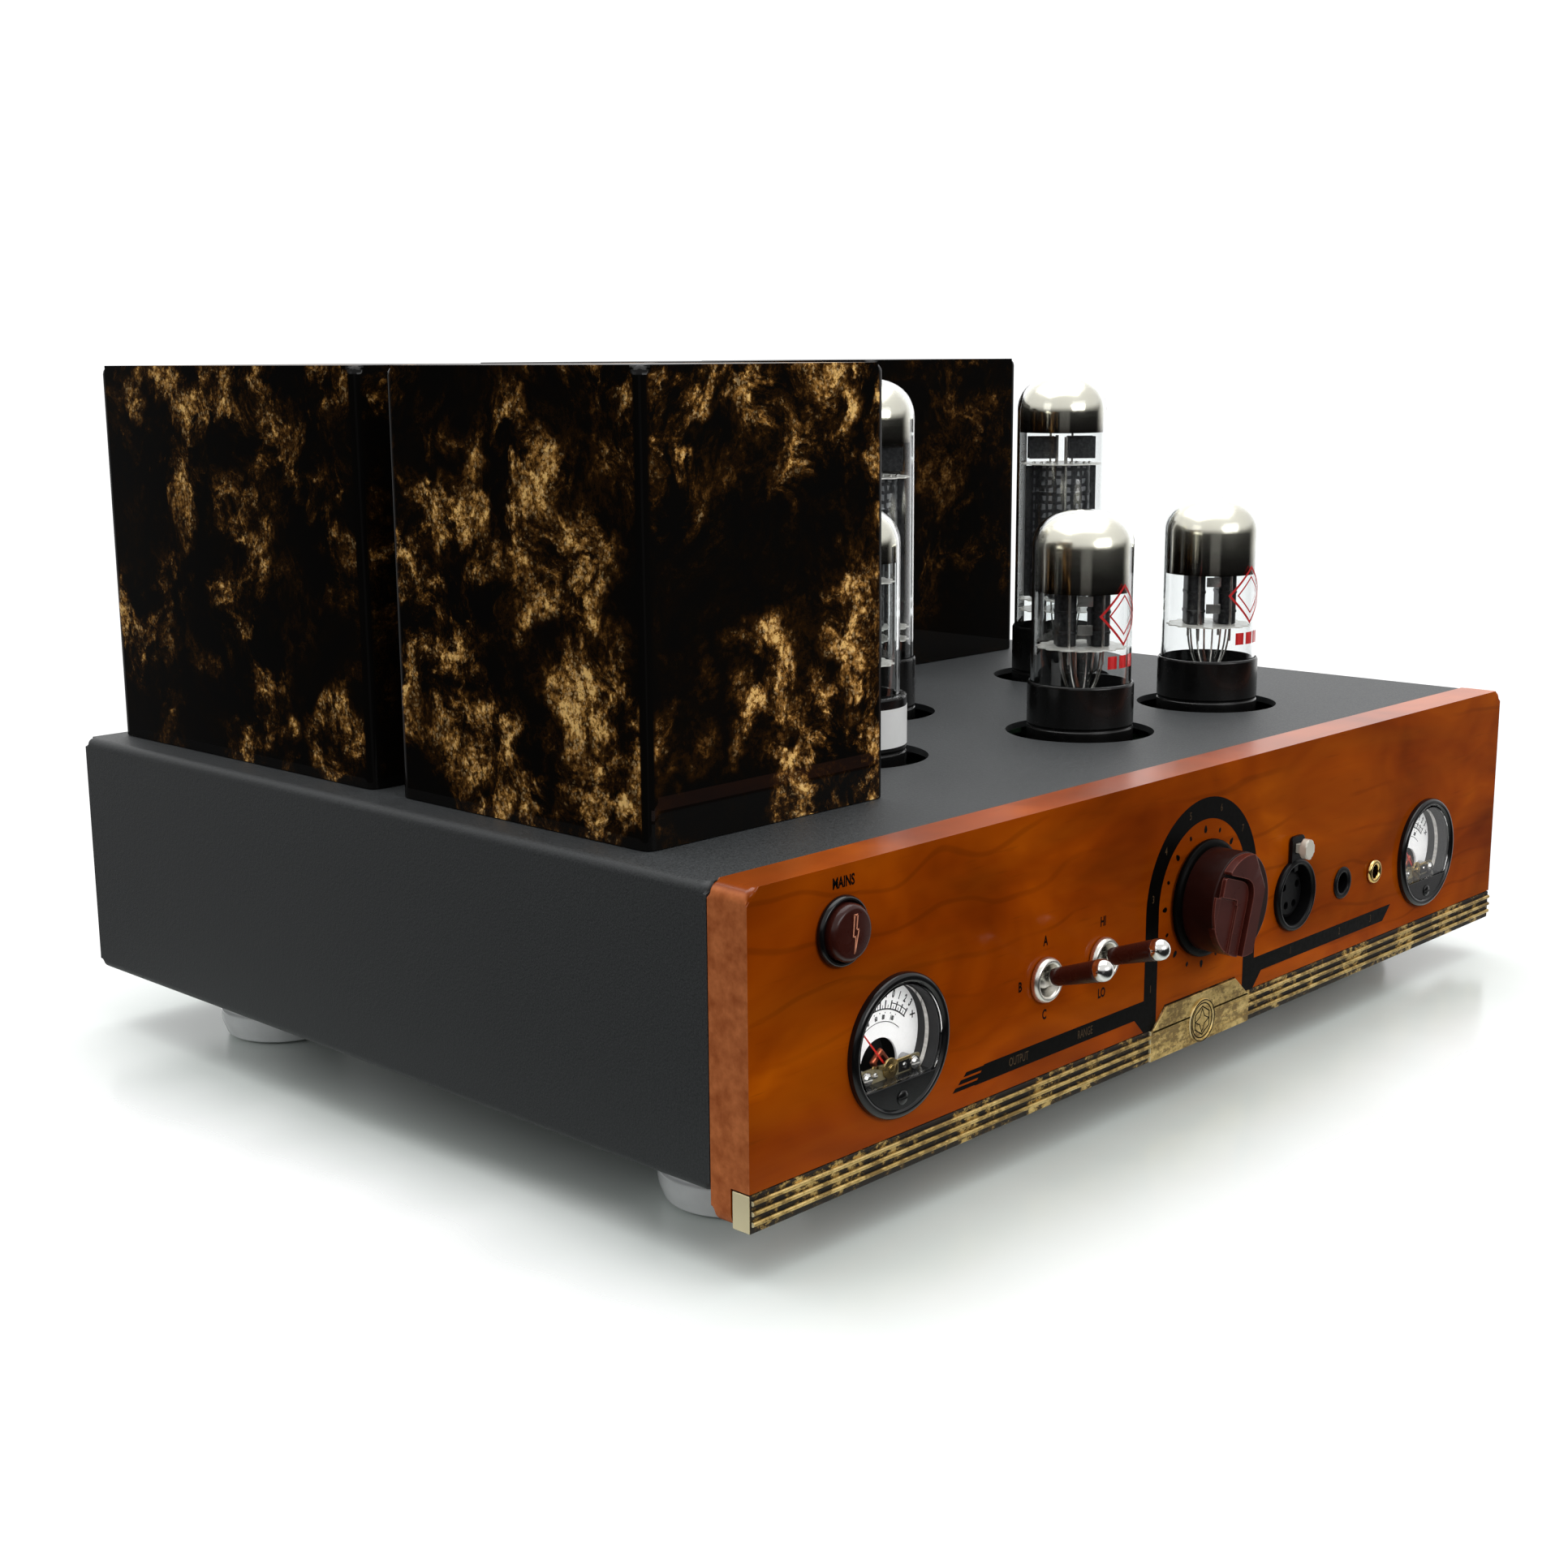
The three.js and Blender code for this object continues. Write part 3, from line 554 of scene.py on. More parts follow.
def cherry_wood():
    """Varnished cherry: mottled orange brown, wavy growth lines, fine pores along the board, pin knots."""
    n = Nodes("cherry_wood")
    at = n.place()
    height = n.split(n.warp(at, 0.030, n.place((14, 14, 20)), 1.0, 2, 0.5))[2]
    line = n.times(n.span(n.math("SINE", n.times(height, 520.0)), 0.90, 1.0),
                   n.span(n.noise(at, 16, 2), 0.42, 0.6))
    mottle = n.noise(n.place((17, 17, 30)), 1.0, 3, 0.55, 0.6)
    body = n.ramp(mottle, [(0.25, (0.135, 0.0180, 0.0004)), (0.45, (0.25, 0.037, 0.0005)),
                           (0.60, (0.36, 0.060, 0.0007)), (0.78, (0.56, 0.118, 0.0016))])
    # Painted sheen: lighter orange bands in the colour stand for the wood's shimmer.
    painted_sheen = n.noise(n.place((9, 9, 60)), 1.0, 4, 0.6, 0.4)
    body = n.mix(n.span(painted_sheen, 0.35, 0.75, 0.0, 0.35), body, (0.36, 0.085, 0.003))
    body = n.mix(n.times(line, 0.27), body, (0.075, 0.012, 0.0006))
    pores = n.noise(n.place((60, 900, 900)), 1.0, 2, 0.6)
    body = n.mix(n.span(pores, 0.60, 0.78, 0.0, 0.28), body, (0.09, 0.016, 0.001))
    knots = n.cells(n.place((10, 10, 14), (0.31, 0, 0.17)), 1.0)
    body = n.mix(n.span(knots, 0.05, 0.30, 0.45, 0.0), body, (0.50, 0.14, 0.004))
    body = n.mix(n.span(knots, 0.012, 0.022, 0.9, 0.0), body, (0.03, 0.004, 0.0005))
    facing = n.facing()
    end_color = n.between(n.noise(n.place((40, 260, 260)), 1.0, 3, 0.6), (0.40, 0.105, 0.032),
                          (0.66, 0.21, 0.072))
    color = n.mix(n.span(n.math("ABSOLUTE", facing[0]), 0.6, 0.9), body, end_color)
    return n.set(color=color, roughness=n.span(pores, 0.3, 0.8, 0.42, 0.55),
                 normal=n.bump(pores, 0.05, 0.0004),
                 coat=n.span(facing[2], 0.3, 0.9, 0.14, 1.0),
                 coat_roughness=n.span(facing[2], 0.3, 0.9, 0.10, 0.30),
                 coat_normal=n.bump(n.noise(at, 25, 2), 0.02, 0.002), specular=0.0)


# Large gold patches in the covers: centre and radius in millimetres.
LEFT_SIDE = -178.8
GOLD_PATCHES = [
    ((LEFT_SIDE, y, z), radius) for y, z, radius in (
        (-82, 130, 24), (-66, 160, 22), (-82, 100, 15), (-22, 176, 18), (-36, 118, 15), (70, 164, 17),
        (128, 202, 11), (34, 108, 15), (60, 106, 12), (-50, 208, 10))
] + [
    ((-138, -96, 129), 19), ((-110, -96, 204), 11), ((-160, -96, 206), 10), ((-103, -96, 147), 16),
    ((-130, -96, 100), 12), ((-91, -50, 150), 24), ((-91, 80, 130), 26), ((-130, 148, 150), 26),
    ((10, 148, 160), 26), ((122, 148, 140), 24), ((-32, 100, 170), 22), ((166, 100, 150), 24),
    ((0, 56, 130), 20), ((120, 56, 170), 20),
]


def gloss_resin():
    """Clear gloss over black, with torn clouds of gold flake at several depths."""
    n = Nodes("gloss_resin")
    at = n.place()
    bent = n.warp(at, 0.024, at, 30, 2, 0.5)
    torn = n.warp(bent, 0.008, bent, 130, 4, 0.65)
    ragged = n.warp(torn, 0.045, at, 55, 3, 0.6)
    patch = None
    for spot, radius in GOLD_PATCHES:
        away = n.vector("DISTANCE", ragged, Vector(spot) * MM)["Value"]
        near = n.span(away, radius * 0.35 * MM, radius * 1.25 * MM, 1.0, 0.0)
        patch = near if patch is None else n.math("MAXIMUM", patch, near)
    where = n.span(n.noise(bent, 17, 2, 0.5), 0.36, 0.60, 0.15, 0.95)
    cloud = n.span(n.noise(torn, 60, 9, 0.70), 0.42, 0.66)
    body = n.span(n.noise(torn, 70, 9, 0.70), 0.36, 0.62, 0.10, 1.0)
    rim = n.span(n.cells(torn, 80, "DISTANCE_TO_EDGE"), 0.0, 0.16, 0.5, 0.0)
    scattered = n.times(where, n.math("ADD", cloud, n.times(rim, cloud)))
    gold = n.math("MAXIMUM", n.times(scattered, 0.80), n.times(patch, body))
    x, y, z = n.facing()
    corner = n.times(n.math("ABSOLUTE", x), n.math("ABSOLUTE", y))
    x, y, z = n.split(at)
    # No gold on the rounded corners, a painted dark edge line of shade; less on the output covers and on
    # the ones behind.
    gold = n.times(gold, n.span(corner, 0.04, 0.30, 1.0, 0.0), n.span(x, -0.075, -0.045, 1.0, 0.55),
                   n.span(y, 0.010, 0.030, 1.0, 0.82))
    pits = n.span(n.cells(torn, 330), 0.15, 0.70, 1.08, 0.72)
    grit = n.span(n.noise(at, 700, 4, 0.75), 0.32, 0.62, 0.62, 1.36)
    amount = n.times(gold, n.times(pits, grit), clamp=True)
    color = n.ramp(amount, [(0.0, (0.0034, 0.0031, 0.0028)), (0.10, (0.0052, 0.0036, 0.0024)),
                            (0.30, (0.022, 0.0095, 0.0026)), (0.52, (0.11, 0.049, 0.0115)),
                            (0.76, (0.44, 0.215, 0.050)), (1.0, (1.0, 0.64, 0.22))])
    # Painted glints: some single flakes get a paler, brighter gold, as if catching the light.
    flake = n.split(n.cells(at, 1500, output="Color"))[0]
    painted_glints = n.times(n.span(flake, 0.74, 0.96), n.span(gold, 0.30, 0.75, 0.0, 0.38))
    return n.set(color=n.mix(painted_glints, color, (1.0, 0.70, 0.33)),
                 roughness=n.span(amount, 0.0, 0.5, 0.45, 0.6),
                 specular=0.0, normal=n.bump(amount, 0.3, 0.0006), coat=0.3, coat_roughness=0.02)


def powder_coat():
    """Charcoal powder coat: fine even texture with a faint large-scale unevenness."""
    n = Nodes("powder_coat")
    at = n.place()
    fine = n.noise(at, 1900, 2, 0.6)
    color = n.mix(n.span(n.noise(at, 9, 3), 0.3, 0.7, 0.0, 0.25),
                  n.between(fine, (0.020, 0.022, 0.023), (0.048, 0.052, 0.054)), (0.026, 0.028, 0.029))
    relief = n.bump(fine, 0.35, 0.0002, n.bump(n.noise(at, 700, 2, 0.5), 0.2, 0.0003))
    return n.set(color=color, roughness=n.span(fine, 0.3, 0.7, 0.48, 0.62), normal=relief, specular=0.45)


def patinated_brass():
    """Satin brass with black patina in blotches and between the ribs, and a painted pale highlight on its
    ends.
    """
    n = Nodes("patinated_brass")
    at = n.place()
    rust = n.noise(n.warp(at, 0.006, at, 90, 3), 60, 7, 0.70)
    streak = n.noise(n.place((40, 200, 500)), 1.0, 3, 0.6)
    spots = n.noise(n.place((0.55, 1, 1)), 520, 4, 0.75)
    flat = n.span(n.split(at)[1], -0.00060, -0.00020)
    # Painted highlight: faces that point along x (the ends) get a pale cream colour, no patina and less
    # metal.
    end = n.span(n.math("ABSOLUTE", n.facing()[0]), 0.5, 0.9, 1.0, 0.0)
    stain = n.math("ADD", n.span(rust, 0.36, 0.60), n.span(spots, 0.40, 0.62, -0.30, 0.45))
    stain = n.math("ADD", stain, n.times(flat, 0.22), clamp=True)
    dark = n.times(n.times(stain, end), n.span(flat, 0.0, 1.0, 0.45, 1.0), clamp=True)
    metal = n.mix(end, (1.0, 0.88, 0.56), n.between(streak, (0.60, 0.415, 0.14), (0.90, 0.67, 0.28)))
    tarnish = n.ramp(dark, [(0.0, (1.0, 1.0, 1.0)), (0.28, (0.70, 0.66, 0.55)), (0.50, (0.22, 0.18, 0.12)),
                            (0.72, (0.035, 0.026, 0.016)), (1.0, (0.012, 0.009, 0.006))])
    return n.set(color=n.mix(1.0, metal, tarnish, "MULTIPLY"), roughness=n.span(dark, 0, 1, 0.38, 0.65),
                 metallic=n.times(n.span(dark, 0, 1, 0.85, 0.2), n.span(end, 0.0, 1.0, 0.35, 1.0)),
                 normal=n.bump(rust, 0.12, 0.0004, n.bump(streak, 0.05, 0.0002)))


def plastic(name, dark, light, roughness, coat=0.0, texture=900, relief=0.05, specular=0.5):
    """Moulded plastic with slight colour and gloss variation."""
    n = Nodes(name)
    at = n.place()
    color = n.between(n.noise(at, 60, 4, 0.6), dark, light)
    fine = n.noise(at, texture, 2, 0.6)
    return n.set(color=color, roughness=n.span(fine, 0.3, 0.7, roughness * 0.85, roughness * 1.15),
                 normal=n.bump(fine, relief, 0.0002), coat=coat, coat_roughness=0.06, specular=specular)


def grip_bakelite():
    """Red brown bakelite, with a pinkish highlight painted along its edges."""
    n = Nodes("grip_bakelite")
    blend = n.noise(n.place(), 60, 4, 0.6)
    color = n.between(blend, (0.045, 0.0075, 0.0050), (0.070, 0.0125, 0.0085))
    wide = n.add("Bevel", {"Radius": 0.0006}, samples=6).outputs["Normal"]
    edge_highlight_dot = n.vector("DOT_PRODUCT", wide, n.add("NewGeometry").outputs["Normal"])["Value"]
    # Painted highlight: the edges are made paler pink, where they catch the light.
    color = n.mix(n.span(edge_highlight_dot, 0.80, 0.995, 0.75, 0.0), color, (0.26, 0.085, 0.065))
    return n.set(color=color, roughness=n.span(blend, 0.3, 0.7, 0.26, 0.34), coat=0.15, coat_roughness=0.06,
                 specular=0.12)


def metal(name, dark, light, roughness, axis="Y", rings=2600, relief=0.04):
    """Turned or drawn metal with fine tool marks across an axis."""
    n = Nodes(name)
    marks = n.noise(n.place([rings if axis == letter else 60 for letter in "XYZ"]), 1.0, 2, 0.6)
    smudge = n.noise(n.place(), 90, 3, 0.6)
    return n.set(color=n.between(marks, dark, light), metallic=1.0, normal=n.bump(marks, relief, 0.0002),
                 roughness=n.span(smudge, 0.3, 0.7, roughness * 0.8, roughness * 1.25))


def clear_glass(name, tint=(0.96, 0.98, 0.98), roughness=0.0):
    """Clear glass; rays from lamps go straight through, so that what is inside is lit."""
    n = Nodes(name)
    ripple = n.noise(n.place((1, 1, 0.4)), 45, 2)
    n.set(color=tint, roughness=roughness, transmission=1.0, ior=1.47, normal=n.bump(ripple, 0.01, 0.002))
    return n.see_through(n.add("LightPath").outputs["Is Shadow Ray"], tint)


def getter_film(kind, top, edge):
    """Mirror-like deposit inside the glass: cream silver at the dome, brown and thin at its edge."""
    n = Nodes(f"film_{kind}")
    fade, edge, top = 1.6 * MM, edge * MM, top * MM
    height = n.split(n.place())[2]
    ragged = n.noise(n.place((140, 140, 300)), 1.0)
    level = n.math("ADD", height, n.span(ragged, 0.3, 0.7, -0.0004, 0.0004, smooth=False))
    color = n.ramp(n.span(level, edge, top, smooth=False), [
        (0.0, (0.10, 0.075, 0.05)), (0.10, (0.42, 0.38, 0.32)), (0.35, (0.78, 0.735, 0.63)),
        (1.0, (0.89, 0.83, 0.70))])
    return n.set(color=color, roughness=n.span(level, edge, top, 0.04, 0.30), metallic=1.0,
                 alpha=n.span(level, edge - fade, edge))


def painted_dial():
    """Matt white card with a hint of warmth and fibre, and a faint white glow of painted light."""
    n = Nodes("painted_dial")
    fine = n.noise(n.place(), 1500, 3, 0.6)
    # The emission makes the card glow faintly: painted light, not a lamp.
    return n.set(color=n.between(fine, (0.86, 0.86, 0.85), (0.95, 0.95, 0.94)), roughness=0.55,
                 normal=n.bump(fine, 0.04, 0.0001), emission=(1, 1, 1), glow=0.22)


def circuit_board():
    n = Nodes("circuit_board")
    weave = n.add("TexChecker", {"Vector": n.place(), "Scale": 700}).outputs["Fac"]
    tracks = n.cells(n.place((1, 1, 0.01)), 160, "DISTANCE_TO_EDGE")
    return n.set(color=n.mix(n.span(tracks, 0.03, 0.06), (0.03, 0.07, 0.03), (0.004, 0.016, 0.007)),
                 roughness=0.4,
                 normal=n.bump(weave, 0.05, 0.0001))


def laminations():
    n = Nodes("laminations")
    inputs = {"Vector": n.place(), "Scale": 320, "Distortion": 0.4}
    layers = n.add("TexWave", inputs, bands_direction="Y").outputs["Fac"]
    return n.set(color=n.ramp(layers, [(0.3, (0.05, 0.045, 0.04)), (0.8, (0.16, 0.14, 0.12))]),
                 roughness=0.5,
                 metallic=0.7, normal=n.bump(layers, 0.3, 0.0003))


def anode_metal(name, perforated=False):
    """Dark carbonised sheet; the perforated form shows a regular net of bright holes."""
    n = Nodes(name)
    fine = n.noise(n.place(), 900, 3, 0.6)
    color = n.between(fine, (0.018, 0.018, 0.019), (0.050, 0.050, 0.053))
    if perforated:
        net = n.cells(n.place((1, 1, 0.8)), 420, "DISTANCE_TO_EDGE", 0.25)
        color = n.mix(n.span(net, 0.16, 0.24), color, (0.20, 0.20, 0.21))
    return n.set(color=color, roughness=0.38, metallic=0.75, normal=n.bump(fine, 0.1, 0.0002))


def mica():
    n = Nodes("mica")
    flakes = n.noise(n.place(), 500, 4, 0.7)
    return n.set(color=n.between(flakes, (0.62, 0.58, 0.52), (0.88, 0.86, 0.82)), roughness=0.25,
                 transmission=0.25,
                 normal=n.bump(flakes, 0.2, 0.0001))


def pale_floor():
    """Pale floor round the object that fades out to nothing past a ragged edge."""
    n = Nodes("pale_floor")
    at = n.place()
    smear = n.noise(at, 6, 4, 0.6)
    n.set(color=n.between(smear, (0.66, 0.72, 0.69), (0.76, 0.81, 0.78)),
          roughness=n.span(smear, 0.3, 0.7, 0.14, 0.24),
          specular=0.6)
    flat = n.vector("MULTIPLY", n.warp(at, 0.05, at, 7, 3), (1, 1, 0))[0]
    outside = n.vector("SUBTRACT", n.vector("ABSOLUTE", flat)[0], (0.15, 0.12, 0))[0]
    reach = n.vector("LENGTH", n.vector("MAXIMUM", outside)[0])["Value"]
    return n.see_through(n.span(reach, 0.03, 0.10))


TUBE_SIZES = {  # heights above the top plate of the base, the glass and the getter's lower edge
    "driver": {"base": 16.0, "glass": 70.0, "radius": 15.85, "dome": 11.0, "film": 44.5},
    "power": {"base": 18.8, "glass": 110.0, "radius": 16.15, "dome": 12.5, "film": 89.5},
    "rectifier": {"base": 18.8, "glass": 74.5, "radius": 14.8, "dome": 11.0, "film": 58.0},
}
METALS = {  # dark, light, roughness, axis, tool marks, relief
    "bright_brass": ((0.62, 0.42, 0.14), (0.80, 0.60, 0.26), 0.22),
    "gold_plate": ((0.78, 0.52, 0.16), (0.95, 0.72, 0.30), 0.12, "Y", 900, 0.02),
    "chrome": ((0.80, 0.79, 0.76), (0.92, 0.91, 0.88), 0.16, "Y", 300, 0.004),
    "nickel": ((0.52, 0.50, 0.47), (0.74, 0.72, 0.68), 0.2, "Z", 700, 0.02),
    "steel": ((0.34, 0.34, 0.35), (0.56, 0.56, 0.57), 0.32),
    "screw_black": ((0.03, 0.03, 0.03), (0.07, 0.07, 0.07), 0.35, "Z"),
    "copper": ((0.42, 0.10, 0.05), (0.60, 0.17, 0.09), 0.4),
    "satin_silver": ((0.80, 0.77, 0.70), (0.93, 0.91, 0.85), 0.30, "Y", 400, 0.01),
}
PLASTICS = {  # dark, light, roughness, coat, texture, relief, specular
    "foot_metal": ((0.70, 0.71, 0.72), (0.86, 0.87, 0.88), 0.22, 0.6, 500, 0.01),
    "brown_bakelite": ((0.028, 0.0050, 0.0032), (0.045, 0.0088, 0.0055), 0.30, 0.25, 300, 0.01, 0.2),
    # A darker copy of the knob's bakelite, for its skirt: painted shade.
    "shaded_bakelite": ((0.012, 0.0027, 0.0018), (0.022, 0.0048, 0.0033), 0.34, 0, 300, 0.01, 0.10),
    "black_plastic": ((0.0025, 0.0025, 0.003), (0.006, 0.006, 0.0065), 0.34, 0, 900, 0.02, 0.15),
    "gloss_black": ((0.003, 0.003, 0.0032), (0.006, 0.006, 0.0065), 0.2, 0.2, 300, 0.005, 0.3),
    "tube_bakelite": ((0.0025, 0.0025, 0.0025), (0.005, 0.0048, 0.0045), 0.24, 0.1, 300, 0.004, 0.3),
    "foot_rubber": ((0.010, 0.010, 0.011), (0.022, 0.022, 0.024), 0.7, 0, 1200, 0.2),
    "tube_ceramic": ((0.010, 0.010, 0.010), (0.022, 0.021, 0.020), 0.35, 0.1),
    "white_band": ((0.78, 0.79, 0.78), (0.88, 0.89, 0.88), 0.45),
    "black_ink": ((0.0010, 0.0008, 0.0007), (0.0020, 0.0017, 0.0014), 0.42, 0, 600, 0.01, 0.04),
    "pale_ink": ((0.050, 0.030, 0.014), (0.080, 0.048, 0.023), 0.5, 0, 600, 0.01, 0.1),
    "dial_ink": ((0.01, 0.01, 0.01), (0.02, 0.02, 0.02), 0.5),
    "red_ink": ((0.50, 0.006, 0.008), (0.68, 0.012, 0.012), 0.4),
    "needle_red": ((0.52, 0.010, 0.006), (0.70, 0.020, 0.010), 0.35),
    "grey_liner": ((0.030, 0.030, 0.031), (0.060, 0.060, 0.062), 0.55, 0, 900, 0.02, 0.15),
    "white_ring": ((0.70, 0.70, 0.68), (0.80, 0.80, 0.78), 0.35),
    "pale_metal": ((0.62, 0.59, 0.50), (0.76, 0.73, 0.64), 0.22, 0.4, 300, 0.01),
    "copper_line": ((0.62, 0.22, 0.12), (0.80, 0.34, 0.20), 0.4),
    "bronze": ((0.15, 0.125, 0.065), (0.25, 0.215, 0.12), 0.3, 0.3),
}
for make in (cherry_wood, gloss_resin, powder_coat, patinated_brass, grip_bakelite, painted_dial,
             circuit_board,
             laminations, mica, pale_floor):
    make()
anode_metal("anode_metal")
anode_metal("anode_net", perforated=True)
clear_glass("tube_glass")
clear_glass("clear_window", (0.99, 0.99, 0.99))
clear_glass("stem_glass", (0.80, 0.86, 0.84), 0.12)
for material_name, looks in METALS.items():
    metal(material_name, *looks)
for material_name, looks in PLASTICS.items():
    plastic(material_name, *looks)
for tube_kind, tube_size in TUBE_SIZES.items():
    getter_film(tube_kind, tube_size["glass"], tube_size["film"])


# ---- Case, panel and trim -----------------------------------------------------------------------

def trapezium(base, top, low, high):
    return [(-base, low), (base, low), (top, high), (-top, high)]


def chassis_case():
    low, high = CASE_LOW, CASE_HIGH
    bend, end_bend = 2.8, 2.2
    outline = rectangle(low.x, low.z, high.x, high.z, bend)
    case = prism("case", outline, low.y, high.y, edge=end_bend, steps=4, corner_steps=6)
    tools = [
        rounded_box("inside", (low.x + WALL, low.y + WALL, low.z - 5),
                    (high.x - WALL, high.y - WALL, high.z - WALL), 0.8),
        rounded_box("window", (-172, low.y - 5, 24), (172, low.y + WALL + 2, 90), 1.5),
    ]
    for name in TUBES:
        where = centre(f"{name}_base")
        tools.append(bar("hole", TUBE_HOLE, high.z - WALL - 2, high.z + 2, "Z", (where.x, where.y), 96))
    inlet, inputs = centre("mains_inlet"), centre("input_sockets")
    tools.append(rounded_box("inlet", (inlet.x - 13.8, REAR - 4, inlet.z - 10.3),
                             (inlet.x + 13.8, REAR + 4, inlet.z + 10.3)))
    for side in (-11, 11):
        tools.append(bar("hole", INPUT_HOLE, REAR - 4, REAR + 4, "Y", (inputs.x + side, inputs.z)))
    cut(case, *tools)
    place(paint(case, "powder_coat"), "chassis", "powder_coat", ORIGIN, "chassis_shell")


def front_board():
    low, high = PANEL_LOW, PANEL_HIGH
    corner, arris = 4.0, 1.6
    outline = rectangle(low.x, low.z, high.x, high.z, corner)
    board = prism("front_board", outline, low.y, high.y, edge=arris, steps=4, corner_steps=6)
    hole = FACE - 5, FACE + 20
    x, y, z = SOCKET_PLACE
    tools = [
        rounded_box("rabbet", (low.x - 5, FACE - 5, low.z - 5), (high.x + 5, FACE + 6.1, STRIP_TOP + 0.3),
                    0),
        prism("pocket", trapezium(26.8, 18.8, 20, CREST_TOP + 0.3), FACE - 2, FACE + 2.5),
        bar("hole", SOCKET_HOLE, *hole, "Y", (x, z)),
        rounded_box("slot", (x - 1.7, hole[0], z + TAB_RISE - 1.7), (x + 1.7, hole[1], z + TAB_RISE + 1.7),
                    0),
    ]
    for node, radius in PANEL_HOLES.items():
        where = centre(node)
        tools.append(bar("hole", radius, *hole, "Y", (where.x, where.z), 72))
    cut(board, *tools)
    soften(board, 0.25, angle=50)
    place(paint(board, "cherry_wood"), "chassis", "cherry_wood", ORIGIN, "front_panel")


def brass_strip():
    """Strip with three round ribs and a raised centre plate with a round emblem, on the panel's face."""
    half, low, high = PANEL_HIGH.x, PANEL_LOW.z, STRIP_TOP
    emblem_height = low + EMBLEM_RISE
    parts = [
        rounded_box("strip", (-half, 0, low), (half, 5.8, high), 0.45),
        prism("crest", trapezium(26.4, 18.5, high - 1, CREST_TOP), -0.75, 2.2, edge=0.25),
        rounded_box("foot", (-26.4, -0.75, low + 0.3), (26.4, 1.5, high), 0.25),
    ]
    for side in (-1, 1):
        for rise in (2.5, 5.1, 7.7):
            rib = bar("rib", 0.62, 10.2, half - 0.6, "X", (-0.28, low + rise), 24)
            if side < 0:
                rib.data.transform(Matrix.Scale(-1, 4, (1, 0, 0)))
                rib.data.flip_normals()
            parts.append(rib)
    disc = lathe("disc", [(0, 0.4), (6.6, 0.4), (6.6, -1.15, 0.3), (5.9, -1.35, 0.1), (5.6, -1.0, 0.1),
                          (0, -1.0)], 64, "Y")
    trim = together("brass_trim", [*parts, shifted(disc, z=emblem_height)])
    place(paint(trim, "patinated_brass"), "chassis", "brass", (0, FACE, 0), "brass_trim")
    hexagon = [clock(4.3, 60 * i) for i in range(6)]
    star = [clock(3.6 if i % 2 else 1.7, 45 * i + 45) for i in range(8)]
    lines = [stroke("line", hexagon, 0.35, 1.05, -0.9, True), stroke("line", star, 0.3, 1.05, -0.9, True),
             ring_line("line", 5.05, 5.4, -1.05, low=-0.9), ring_line("line", 6.1, 6.35, -1.36, low=-1.2)]
    emblem = paint(together("emblem_lines", lines), "black_ink")
    place(emblem, "chassis", "brass", (0, FACE, emblem_height))


BAND = (23.2, 29.6)  # inner and outer radius of the arch printed round the knob
BAR = (27.0, 31.8)  # low and high edge of the printed bars
BAR_END = 115.7


def arch_outline(centre_z):
    """Arch over the knob with straight legs down to the trim, and a bar out of each leg."""
    (inner, outer), (low, high) = BAND, BAR
    fillet, foot_z = 4.5, STRIP_TOP + 0.2
    left = [(-BAR_END + 9, low), (-outer - fillet, low), (-outer, low - fillet), (-outer, foot_z),
            (-inner, foot_z)]
    right = [(inner, foot_z), (outer, foot_z), (outer, low - fillet), (outer + fillet, low),
             (BAR_END - 5, low), (BAR_END, high), (outer, high)]
    under, over = ([(u, centre_z + v) for u, v in points]
                   for points in (arc(inner, 180, 0, 48), arc(outer, 0, 180, 48)))
    return [*left, *under, *right, *over, (-outer, high), (-BAR_END + 13, high)]


def printed_marks():
    """Black printing on the board, and the pale figures inside the black bands."""
    knob = centre("volume_knob")
    dark = [prism("band", arch_outline(knob.z), -BAND_PROUD, SUNK)]
    for i in range(3):
        low, start, end = BAR[0] + 0.15 + i * 1.65, -BAR_END + 2.2 * i, -BAR_END + 14
        dark.append(prism("stripe", [(start, low), (end, low), (end, low + 1.1), (start + 1.1, low + 1.1)],
                          -PRINT, SUNK))
    for i in range(16):  # drops round the knob, every second one smaller
        outline = [(0.55 * u, 0.75 * v) if i % 2 else (0.75 * u * (1 - 0.25 * v), 1.15 * v)
                   for u, v in arc(1, 0, 336, 14)]
        x, z = clock(20.2, 22.5 * i)
        dark.append(shifted(turned(prism("dot", outline, -BAND_PROUD, SUNK), 22.5 * i, "Y"), x, 0,
                            z + knob.z))
    figures = [("1", -26.4, 34.5), ("2", -26.4, 45.0), ("9", 26.4, 45.0), ("10", 26.4, 34.5)]
    for text, degrees in (("3", -81), ("4", -50), ("5", -18), ("6", 18), ("7", 50), ("8", 81)):
        x, z = clock(26.6, degrees)
        figures.append((text, x, knob.z + z))
    pale = [shifted(lettering("figure", text, 2.3, 0.75), x, -BAND_PROUD, z) for text, x, z in figures]
    for text, x in (("OUTPUT", -88.0), ("RANGE", -58.0), ("1", 51.3), ("2", 81.8), ("3", 102.3)):
        pale.append(shifted(lettering("word", text, 2.5, 0.62), x, -BAND_PROUD, sum(BAR) / 2))
    words = [("MAINS", -157.4, 90.7)]
    for text, hand, x, z in (("A", "left", 0.5, 10.4), ("B", "left", -10.4, 0), ("C", "left", 0.5, -10.0),
                             ("HI", "right", 0.5, 10.4), ("LO", "right", 0.5, -10.0)):
        lever = centre(f"toggle_body_{hand}")
        words.append((text, lever.x + x, lever.z + z))
    dark += [shifted(lettering("word", text, 2.7, 0.72, 0.12), x, 0, z) for text, x, z in words]
    place(paint(together("panel_print", dark), "black_ink"), "chassis", "black_plastic", (0, FACE, 0))
    place(paint(together("panel_figures", pale), "pale_ink"), "chassis", "cherry_wood", (0, FACE, 0))


